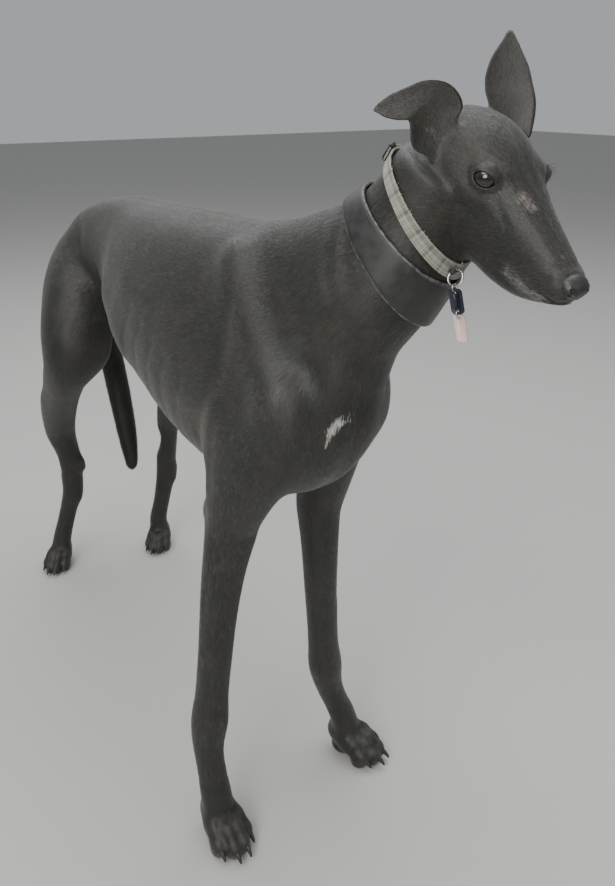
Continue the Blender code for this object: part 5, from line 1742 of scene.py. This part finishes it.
def makeLeatherMaterial():
    material, tree, shader = newMaterial("leather", Specular_IOR_Level=0.55)
    weave = addNode(tree, "ShaderNodeUVMap", uv_map="weave").outputs[0]
    across = maths(tree, "ABSOLUTE", partsOf(tree, weave)[1])
    grain = useGroup(tree, grainGroup, {"Point": objectPoint(tree), "Scale": 1500.0})
    rub = noise(tree, objectPoint(tree), 240.0, 4.0, 0.65)
    # The outermost edges are lightened: partly real edge wear, partly a painted highlight where the edge
    # catches the light.
    edgeWearAndHighlight = maths(tree, "MULTIPLY", spread(tree, across, 0.0098, 0.0110), spread(tree, rub, 0.35, 0.6))
    colour = ramp(tree, grain["Value"], [(0.3, (0.009, 0.009, 0.009)), (0.75, (0.020, 0.020, 0.019))])
    colour = blend(tree, maths(tree, "MULTIPLY", edgeWearAndHighlight, 0.75), colour, (0.16, 0.155, 0.145))
    paint(tree, shader, colour, spread(tree, grain["Value"], 0.3, 0.7, 0.38, 0.50))
    groove = maths(
        tree, "MULTIPLY", spread(tree, across, 0.0090, 0.0093), spread(tree, across, 0.0099, 0.0096),
    )
    height = maths(tree, "SUBTRACT", maths(tree, "MULTIPLY", grain["Height"], 0.22), groove)
    addBump(tree, shader, height, 0.5, 0.0003)
    return material


def makeHardMaterial(name, colour, worn, rough, metallic=0.0, scale=420.0):
    # A hard surface with wiped patches and fine scuffs.
    material, tree, shader = newMaterial(name, Metallic=metallic)
    point = objectPoint(tree)
    patches = noise(tree, point, scale, 4.0, 0.65)
    lines = mapped(tree, point, (4200, 260, 900), (0.4, 0.3, 0.9))
    scuffs = spread(tree, noise(tree, lines, 1.0, 2.0), 0.62, 0.74)
    share = maths(
        tree, "MAXIMUM", spread(tree, patches, 0.55, 0.80, 0.0, 0.7), maths(tree, "MULTIPLY", scuffs, 0.6),
    )
    paint(
        tree, shader, blend(tree, share, colour, worn),
        spread(tree, patches, 0.3, 0.7, rough * 0.8, rough * 1.3),
    )
    addBump(tree, shader, scuffs, -0.3, 0.0001)
    return material


def dress(item, material):
    item.data.materials.clear()
    item.data.materials.append(material)
    return item


# Every piece but the coat.


def strapTree():
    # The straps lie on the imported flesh, read back to the tables' place.
    mesh = bmesh.new()
    for name in ("neck", "head", "torso"):
        mesh.from_mesh(nodes[name].data)
    bmesh.ops.transform(mesh, matrix=Matrix.Translation(-rowShift), verts=mesh.verts)
    tree = BVHTree.FromBMesh(mesh)
    mesh.free()
    return tree


def ringRipple(angle):
    return 0.00012 * math.sin(7 * angle + 1) + 0.00008 * math.sin(17 * angle)


coatPaint, nosePaint = makeCoatMaterial(), makeNoseMaterial()
eyePaint, clawPaint = makeEyeMaterial(), makeClawMaterial()
plaidPaint, leatherPaint = makePlaidMaterial(), makeLeatherMaterial()
threadPaint = makeHardMaterial("thread", (0.55, 0.52, 0.45), (0.34, 0.32, 0.27), 0.8)
plasticPaint = makeHardMaterial("blackPlastic", (0.018, 0.018, 0.020), (0.06, 0.06, 0.06), 0.42)
steelPaint = makeHardMaterial("steel", (0.56, 0.55, 0.52), (0.36, 0.34, 0.31), 0.24, 1.0)
navyPaint = makeHardMaterial("navyPlastic", (0.012, 0.014, 0.026), (0.055, 0.060, 0.078), 0.40)
palePaint = makeHardMaterial("palePlastic", (0.66, 0.50, 0.46), (0.42, 0.27, 0.22), 0.42)

dress(skin, coatPaint)
dress(finishPiece(makeNose(), "noseLeather", ["nose"]), nosePaint)
for eyeName, eyeSide in (("left", 1), ("right", -1)):
    dress(finishPiece(makeEyeball(eyeSide), "eyeball_" + eyeName, ["eye_" + eyeName]), eyePaint)
dress(finishPiece(makeLidRims(), "lidRims"), nosePaint)
for pawName in paws["rows"]:
    clawMesh = bmesh.new()
    for clawToe in range(4):
        makeClaw(clawMesh, pawName, clawToe)
    clawNodes = ["claw_" + pawName + "_" + str(n + 1) for n in range(4)]
    dress(finishPiece(makeItem(clawMesh, "claws"), "claws_" + pawName, clawNodes), clawPaint)
print("stage: nose, eyes and claws")

strapGround = strapTree()
narrowStrap, wideStrap = Strap("narrow", strapGround), Strap("wide", strapGround)
band = ringBand(narrowStrap, 0.10, 0.0, ringRipple)
dress(finishPiece(band, "plaidStrap", ["collar_narrow"]), plaidPaint)
band = ringBand(wideStrap, 0.05, 0.0002)
dress(finishPiece(band, "leatherBand", ["collar_wide"]), leatherPaint)
band = bandPiece(narrowStrap, "strapEnd")
dress(finishPiece(band, "plaidStrapEnd", ["collar_strap_end"]), plaidPaint)
band = bandPiece(narrowStrap, "slider", 0.16, 0.0)
carve(band, bandPiece(narrowStrap, "sliderHole", 0.16, 0.0))
dress(finishPiece(band, "strapSlider", ["collar_slider"]), plasticPaint)
band = bandPiece(narrowStrap, "clasp", 0.18, 0.0008)
dress(finishPiece(band, "strapClasp", ["collar_clasp"]), plasticPaint)
hangLooks = {
    "collar_loop": ("tartan_fabric", plasticPaint),
    "tag_dark": ("navy_plastic", navyPaint),
    "tag_pale": ("pale_plastic", palePaint),
}
for pieceName, piece in makeHanging(narrowStrap).items():
    slotName, piecePaint = hangLooks.get(pieceName, ("steel", steelPaint))
    dress(finishPiece(piece, pieceName + "_fine", [pieceName]), piecePaint)
print("stage: collars, ring and tags")


# Lying coat.

coat = {
    "seed": 11,
    # Blades for each square metre of skin, length and width, by region.
    "trunk": (620000, 0.0085, 0.00070),
    "legs": (620000, 0.0075, 0.00062),
    "paws": (1500000, 0.0034, 0.00044),
    "tail": (1100000, 0.0120, 0.00066),
    "head": (1900000, 0.0040, 0.00040),
    "ears": (1500000, 0.0042, 0.00042),
    "patch": 0.003,
    # Where the trunk's coat is parted, in x.
    "cuts": (-0.33, -0.02),
    "mostSkinTriangles": 190000,
}


def trunkMiddle(x):
    across = np.interp(
        x, [-0.65, -0.49, -0.30, -0.14, 0.0, 0.10, 0.15, 0.19],
        [0, -0.001, -0.010, -0.017, -0.020, -0.010, 0.018, 0.042],
    )
    level = np.interp(
        x, [-0.65, -0.49, -0.30, -0.14, 0.0, 0.07, 0.12, 0.15, 0.19],
        [0.586, 0.615, 0.605, 0.580, 0.575, 0.630, 0.675, 0.712, 0.780],
    )
    return across, level


def sortRegions(points, earSpots):
    # 0 trunk and neck, 1 to 4 legs, 5 tail, 6 head, 7 and 8 ears, 9 to 12 paws.
    region = np.zeros(len(points), int)
    names = list(legs)
    for n, name in enumerate(names):
        axis = smoothRows(legs[name], 3)[:, :3]
        near = lineDistance(points, axis[axis[:, 2] < 0.50])
        region[(near < 0.075) & (points[:, 2] < np.where(points[:, 0] > -0.2, 0.440, 0.470))] = n + 1
        if n in (1, 3):
            other = lineDistance(points, smoothRows(legs[names[n - 1]], 3)[:, :3])
            region[(region == n + 1) & (other < near)] = n
    low = (points[:, 2] < 0.075) & (region > 0)
    region[low] += 8
    tail = np.array(body["tail"])[:, :3]
    region[(lineDistance(points, tail[1:]) < 0.024) & (points[:, 0] < -0.610)] = 5
    cutMiddle, cutWay = np.array(head["cut"][0]), np.array(head["cut"][1])
    region[(points - cutMiddle) @ cutWay > 0] = 6
    for n, spots in enumerate(earSpots):
        above = headLocal(points)[:, 2] > 0.018
        region[(region == 6) & (lineDistance(points, spots) < 0.024) & above] = 7 + n
    return region


def runAlong(points, line):
    # The way of the line's nearest part at each point.
    nearest = np.linalg.norm(points[:, None] - line[None, :-1], axis=2).argmin(axis=1)
    return (line[1:] - line[:-1])[nearest]


def lieOf(points, normals, region, earSpots):
    way = np.zeros_like(points)
    level = trunkMiddle(points[:, 0])[1]
    sideways = np.clip((points[:, 2] - level) / 0.09, -1, 1)
    way[:] = (-1.0, 0.0, 0.0)
    way[:, 2] = -0.42 * (1 - np.abs(sideways))
    rear = step(-points[:, 0], 0.42, 0.56)
    way[:, 2] -= 0.9 * rear * (1 - np.clip(sideways, 0, 1))
    neckShare = step(points[:, 0], 0.03, 0.11)[:, None]
    way = way * (1 - neckShare) + np.array([-0.64, -0.30, -0.74]) * neckShare
    chest = (step(points[:, 0], 0.10, 0.14) * step(0.66 - points[:, 2], 0.0, 0.06))[:, None]
    way = way * (1 - chest) + np.array([-0.15, 0.0, -1.0]) * chest
    byArm = step(np.abs(points[:, 1] + 0.015), 0.030, 0.060) * step(
        0.14 - np.abs(points[:, 0] - 0.03), 0.0, 0.06,
    )
    byThigh = step(-points[:, 0], 0.36, 0.46)
    down = np.maximum(
        step(0.58 - points[:, 2], 0.0, 0.12) * byArm, step(0.64 - points[:, 2], 0.0, 0.16) * byThigh,
    )[:, None]
    way = way * (1 - down) + np.array([-0.10, 0.0, -1.0]) * down
    way[np.isin(region, (1, 2, 3, 4))] = (-0.10, 0.0, -1.0)
    for n, row in enumerate(paws["rows"].values()):
        heading = math.radians(row[2])
        way[region == 9 + n] = (math.cos(heading) * 0.9, math.sin(heading) * 0.9, -0.55)
    tail = np.array(body["tail"])[:, :3]
    mask = region == 5
    way[mask] = runAlong(points[mask], tail)
    headWay = np.array(headPlace.to_3x3().normalized())
    local = headLocal(points)
    mask = region == 6
    lie = np.zeros((mask.sum(), 3))
    lie[:, 0] = -1.0
    lie[:, 2] = -0.30 * (local[mask][:, 2] < -0.02) + 0.25 * (local[mask][:, 2] > 0.0)
    lie[:, 1] = 0.25 * np.sign(local[mask][:, 1])
    way[mask] = lie @ headWay.T
    for n, spots in enumerate(earSpots):
        mask = region == 7 + n
        way[mask] = runAlong(points[mask], spots)
    way -= normals * (way * normals).sum(axis=1)[:, None]
    return way / np.maximum(np.linalg.norm(way, axis=1), 1e-6)[:, None]


def turnShare(y, x):
    return np.arctan2(y, x) / (2 * np.pi) + 0.5


def bakePlace(points, region):
    # An unwrap of the skin about the trunk, each leg, the tail, the head and the ears, in one square.
    u, v = np.zeros(len(points)), np.zeros(len(points))
    across, level = trunkMiddle(points[:, 0])
    turn = turnShare(points[:, 1] - across, level - points[:, 2])
    u[:], v[:] = 0.01 + 0.60 * turn, 0.01 + 0.62 * (points[:, 0] + 0.66) / 0.86
    for n, name in enumerate(legs):
        axis = smoothRows(legs[name], 3)[::-1]
        for kind, low, high in ((n + 1, 0.36, 0.98), (n + 9, 0.02, 0.34)):
            mask = region == kind
            spot = points[mask]
            x = np.interp(spot[:, 2], axis[:, 2], axis[:, 0])
            y = np.interp(spot[:, 2], axis[:, 2], axis[:, 1])
            turn = turnShare(spot[:, 1] - y, spot[:, 0] - x)
            u[mask] = 0.63 + 0.09 * n + 0.085 * turn
            top = 0.48 if kind < 9 else 0.078
            v[mask] = low + (high - low) * np.clip(spot[:, 2] / top, 0, 1)
    mask = region == 5
    tail = np.array(body["tail"])[::-1]
    spot = points[mask]
    x, y = (np.interp(spot[:, 2], tail[:, 2], tail[:, k]) for k in (0, 1))
    u[mask] = 0.01 + 0.10 * turnShare(spot[:, 1] - y, spot[:, 0] - x)
    v[mask] = 0.66 + 0.32 * np.clip((spot[:, 2] - 0.16) / 0.44, 0, 1)
    local = headLocal(points)
    mask = region == 6
    u[mask] = 0.13 + 0.30 * turnShare(local[mask][:, 1], -0.03 - local[mask][:, 2])
    v[mask] = 0.66 + 0.32 * np.clip((local[mask][:, 0] + 0.10) / 0.22, 0, 1)
    for n in (0, 1):
        mask = region == 7 + n
        x, y, z = local[mask].T
        u[mask] = 0.45 + 0.08 * n + 0.07 * np.clip(y * (1, -1)[n] / 0.11, 0, 1)
        v[mask] = 0.66 + 0.32 * np.clip((z - 0.01 + 0.5 * (-x - 0.04)) / 0.11, 0, 1)
    return np.stack([u, v], axis=1)


def skinTriangles(item):
    item.data.calc_loop_triangles()
    corners = np.empty(len(item.data.loop_triangles) * 3, np.int32)
    item.data.loop_triangles.foreach_get("vertices", corners)
    return corners.reshape(-1, 3)


def growCoat(item, tree, ground):
    # Single leaf-thin blades with their roots in the skin and their tips just over it.
    rng = np.random.default_rng(coat["seed"])
    points, normals = pointsOf(item) - np.array(rowShift), normalsOf(item)
    corners = skinTriangles(item)
    a, b, c = (points[corners[:, k]] for k in range(3))
    area = 0.5 * np.linalg.norm(np.cross(b - a, c - a), axis=1)
    earSpots = [np.array([headPlace @ Vector(row[:3]) for row in ears[name]]) for name in ("left", "right")]
    region = sortRegions((a + b + c) / 3, earSpots)
    kinds = {0: "trunk", 5: "tail", 6: "head", 7: "ears", 8: "ears"}
    kinds.update({n: "legs" for n in range(1, 5)})
    kinds.update({n: "paws" for n in range(9, 13)})
    facts = np.array([coat[kinds[n]] for n in range(13)])
    share = 1.0
    chance = area * facts[region, 0] * share
    count = int(chance.sum())
    picked = np.searchsorted(np.cumsum(chance) / chance.sum(), rng.random(count))
    picked = np.clip(picked, 0, len(corners) - 1)
    r, s = np.sqrt(rng.random(count)), rng.random(count)
    weights = np.stack([1 - r, r * (1 - s), r * s], axis=1)[:, :, None]
    roots = (points[corners[picked]] * weights).sum(axis=1)
    out = (normals[corners[picked]] * weights).sum(axis=1)
    out /= np.linalg.norm(out, axis=1)[:, None]
    region = region[picked]
    way = lieOf(roots, out, region, earSpots)
    side = np.cross(out, way)
    drift = np.sin(roots @ np.array([31.0, 17.0, 23.0]) * 1.7) * 0.10 + rng.normal(0, 0.10, count)
    way = way * np.cos(drift)[:, None] + side * np.sin(drift)[:, None]
    side = np.cross(out, way)
    length = facts[region, 1] * rng.uniform(0.65, 1.30, count)
    width = facts[region, 2] * rng.uniform(0.75, 1.25, count)
    keep = ~((roots[:, 2] < 0.004) & (out[:, 2] < -0.5))
    tips = roots + way * length[:, None]
    rise = np.where(region > 5, 0.00038, 0.00055) * rng.uniform(0.4, 1.6, count)
    rise = np.where(region == 5, rng.uniform(0.0004, 0.0034, count), rise)
    for n in range(count):
        spot, normal = tree.find_nearest(tips[n])[:2]
        tips[n] = np.array(spot) + np.array(normal) * rise[n]
    roll = rng.normal(0, 0.06, count)
    edge = side * np.cos(roll)[:, None] + out * np.sin(roll)[:, None]
    base = roots - out * 0.00008
    left, right = base + edge * (width / 2)[:, None], base - edge * (width / 2)[:, None]
    places = bakePlace(roots, region)
    tone = rng.random(count)
    rear, front = roots[:, 0] < coat["cuts"][0], roots[:, 0] >= coat["cuts"][1]
    cuts = {
        "coatHindquarters": (region == 0) & rear,
        "coatBarrel": (region == 0) & ~rear & ~front,
        "coatForequarters": (region == 0) & front,
        "coatLegs": np.isin(region, (1, 2, 3, 4)),
        "coatPaws": region > 8,
        "coatTail": region == 5,
        "coatHead": region == 6,
        "coatEars": np.isin(region, (7, 8)),
    }
    for name, mask in cuts.items():
        mask &= keep
        total = int(mask.sum())
        verts = np.stack([left[mask], right[mask], tips[mask]], axis=1).reshape(-1, 3)
        patch = coat["patch"] / 2
        offsets = np.array([(-patch, -patch), (patch, -patch), (0, patch)])
        uvs = (places[mask][:, None] + offsets[None]).reshape(-1, 2)
        makeBlades(name, verts, np.arange(total * 3).reshape(-1, 3), uvs, np.repeat(tone[mask], 3), ground)
        print("stage:", name, total, "blades")


def addTone(data, values):
    data.attributes.new("tone", "FLOAT", "POINT").data.foreach_set("value", values.astype(np.float32))


def makeBlades(name, verts, faces, uvs, tone, material):
    data = bpy.data.meshes.new(name)
    data.vertices.add(len(verts))
    data.vertices.foreach_set("co", verts.astype(np.float32).ravel())
    data.loops.add(faces.size)
    data.loops.foreach_set("vertex_index", faces.astype(np.int32).ravel())
    data.polygons.add(len(faces))
    data.polygons.foreach_set("loop_start", np.arange(0, faces.size, 3, dtype=np.int32))
    data.update(calc_edges=True)
    layer = data.uv_layers.new(name="OFBake")
    layer.data.foreach_set("uv", uvs[faces.ravel()].astype(np.float32).ravel())
    addTone(data, tone)
    return dress(finishPiece(addObject(name, data), name), material)


def makeBristles(name, bristles, material):
    # Each bristle: root, way, length, width and sag, as a blade of three parts with a fine tip.
    rng = np.random.default_rng(coat["seed"] + 5)
    verts, faces, places = [], [], []
    for root, way, length, width, sag in bristles:
        way = way.normalized()
        side = way.cross(Vector((rng.normal(), rng.normal(), rng.normal()))).normalized()
        base = len(verts)
        for k, share in enumerate((1.0, 0.75, 0.45)):
            t = k / 3
            point = root + way * (length * t) + Vector((0, 0, -sag * t * t))
            verts += [point + side * (width * share / 2), point - side * (width * share / 2)]
        verts.append(root + way * length + Vector((0, 0, -sag)))
        for k in (0, 2):
            faces += [(base + k, base + k + 1, base + k + 3), (base + k, base + k + 3, base + k + 2)]
        faces.append((base + 4, base + 5, base + 6))
        places += [rng.random(2) * 0.9 + 0.05] * 7
    corners = np.array([(-1, 0), (1, 0)] * 3 + [(0, 1)]) * coat["patch"] / 2
    uvs = np.array(places) + np.tile(corners, (len(bristles), 1))
    tone = np.repeat(rng.random(len(bristles)), 7)
    return makeBlades(name, np.array([tuple(v) for v in verts]), np.array(faces), uvs, tone, material)


def listFaceHairs(tree):
    rng = np.random.default_rng(coat["seed"] + 9)
    found = []
    turn = headPlace.to_3x3().normalized()
    for side in (-1, 1):
        middle, axis, across, up = eyeFrame(side)
        for k in range(30):
            angle = math.pi * (0.10 + 0.80 * (k + rng.random() * 0.5) / 30)
            x, y = almond(angle, 1.08)
            deep = math.sqrt(max(1e-9, (eye["radius"] * head["size"] + 0.0008) ** 2 - x * x - y * y))
            root = middle + across * x + up * y + axis * deep
            way = axis * 1.0 + up * 0.35 + across * (0.9 * x / 0.009) + Vector(rng.normal(0, 0.08, 3))
            found.append((root, way, rng.uniform(0.0030, 0.0052), 0.00022, -0.0008))
        for k in range(16):
            spot = onHead(
                (0.102 - 0.009 * (k % 5) + rng.normal(0, 0.001), 0.0215, -0.0300 - 0.0048 * (k // 5)), side,
            )
            root, normal = tree.find_nearest(spot)[:2]
            way = turn @ Vector(
                (-0.35, 0.95 * side, -0.25 - 0.1 * rng.random()),
            ) + Vector(rng.normal(0, 0.12, 3))
            found.append(
                (root - normal * 0.0003, way, rng.uniform(0.010, 0.022), 0.00026, rng.uniform(0.001, 0.004)),
            )
        for k in range(3):
            spot = onHead((0.004 + 0.004 * k, 0.0300, 0.0200), side)
            root, normal = tree.find_nearest(spot)[:2]
            found.append(
                (root, normal + turn @ Vector((0.1, 0, 0.4)), rng.uniform(0.009, 0.014), 0.00024, 0.001),
            )
    return found


def listThreads(strap):
    rng = np.random.default_rng(coat["seed"] + 21)
    found = []
    for k in range(46):
        angle = -math.radians(rng.uniform(18, 120))
        root = strap.at(angle, 0.97, strap.thick * rng.uniform(0.3, 0.9))
        out = (strap.at(angle, 0, 1) - strap.at(angle, 0, 0)).normalized()
        run = (strap.at(angle + 0.02, 1, 0) - strap.at(angle, 1, 0)).normalized()
        way = strap.along * rng.uniform(0.4, 1.0) + out * rng.uniform(0.0, 0.5) + run * rng.normal(0, 0.6)
        found.append((root, way, rng.uniform(0.0014, 0.0048), 0.00034, rng.uniform(0, 0.0008)))
    return found


def thinOut(item, most):
    # Even stretches lose triangles first, so the face and the toes keep theirs.
    modifier = item.modifiers.new("thin", "DECIMATE")
    modifier.ratio = min(1.0, most / triangleCount(item))
    bake(item)
    item.data.name = item.name


skinMesh = skin.copy()
skinMesh.data = skin.data.copy()
skinMesh.data.transform(Matrix.Translation(-rowShift))
skinTree = treeOf(skinMesh)
growCoat(skin, skinTree, coatPaint)
makeBristles("faceHairs", listFaceHairs(skinTree), coatPaint)
makeBristles("strapThreads", listThreads(narrowStrap), threadPaint)
thinOut(skin, coat["mostSkinTriangles"])
addTone(skin.data, np.full(len(skin.data.vertices), 0.7))
bpy.data.objects.remove(skinMesh)
print("stage: coat")


# Stage, light and camera.

view = {
    "place": (0.85672, -0.41864, 0.8461),
    "ahead": (-0.8362, 0.5485),
    "down": 17.68,
    "focal": 800.0,
    "axisRow": 340.0,
    "size": (615, 886),
}


lights = {
    # Place, aim, size, power in watts, tint.
    "sky": ((-0.5, 0.3, 3.0), (0.0, 0.0, 0.5), (3.4, 3.0), 114, (0.97, 0.98, 1.0)),
    "key": ((0.9, -1.9, 2.6), (0.1, 0.0, 0.5), (1.8, 1.2), 42, (1.0, 0.98, 0.95)),
    "side": ((2.4, 0.4, 1.5), (0.3, 0.0, 0.7), (1.2, 1.4), 8, (1.0, 0.98, 0.95)),
    "rim": ((-2.2, 0.8, 2.0), (0.10, 0.0, 0.72), (2.0, 0.8), 6, (0.97, 0.98, 1.0)),
    "face": ((1.20, -1.25, 1.10), (0.42, 0.05, 0.78), (0.9, 0.6), 15, (1.0, 0.99, 0.96)),
}


def makeCamera():
    data = bpy.data.cameras.new("camera")
    camera = addObject("camera", data)
    x, y = view["ahead"]
    tilt = math.radians(view["down"])
    ahead = Vector((x * math.cos(tilt), y * math.cos(tilt), -math.sin(tilt))).normalized()
    right = ahead.cross(Vector((0, 0, 1))).normalized()
    up = right.cross(ahead)
    camera.matrix_world = Matrix.Translation(view["place"]) @ turnTo(right, up, -ahead)
    high = view["size"][1]
    data.sensor_width = 36.0
    data.lens = view["focal"] * data.sensor_width / high
    data.shift_y = (view["axisRow"] - high / 2) / high
    bpy.context.scene.camera = camera


def addLight(name, place, aim, size, power, tint):
    data = bpy.data.lights.new(name, "AREA")
    data.shape = "RECTANGLE"
    data.size, data.size_y = size
    data.energy = power
    data.color = tint
    item = addObject(name, data)
    way = Vector(aim) - Vector(place)
    item.matrix_world = Matrix.Translation(place) @ way.to_track_quat("-Z", "Y").to_matrix().to_4x4()


def makeStage():
    mesh = bmesh.new()
    bmesh.ops.create_grid(mesh, x_segments=1, y_segments=1, size=12)
    floor = makeItem(mesh, "floor")
    material = bpy.data.materials.new("floorPaint")
    material.use_nodes = True
    shader = material.node_tree.nodes["Principled BSDF"]
    shader.inputs["Base Color"].default_value = (0.40, 0.395, 0.38, 1)
    shader.inputs["Roughness"].default_value = 0.7
    floor.data.materials.append(material)
    world = bpy.data.worlds.new("studio")
    world.use_nodes = True
    world.node_tree.nodes["Background"].inputs["Color"].default_value = (0.80, 0.82, 0.85, 1)
    world.node_tree.nodes["Background"].inputs["Strength"].default_value = 0.50
    bpy.context.scene.world = world
    for name, values in lights.items():
        addLight(name, *values)


makeCamera()
makeStage()
print("stage: stage and light")
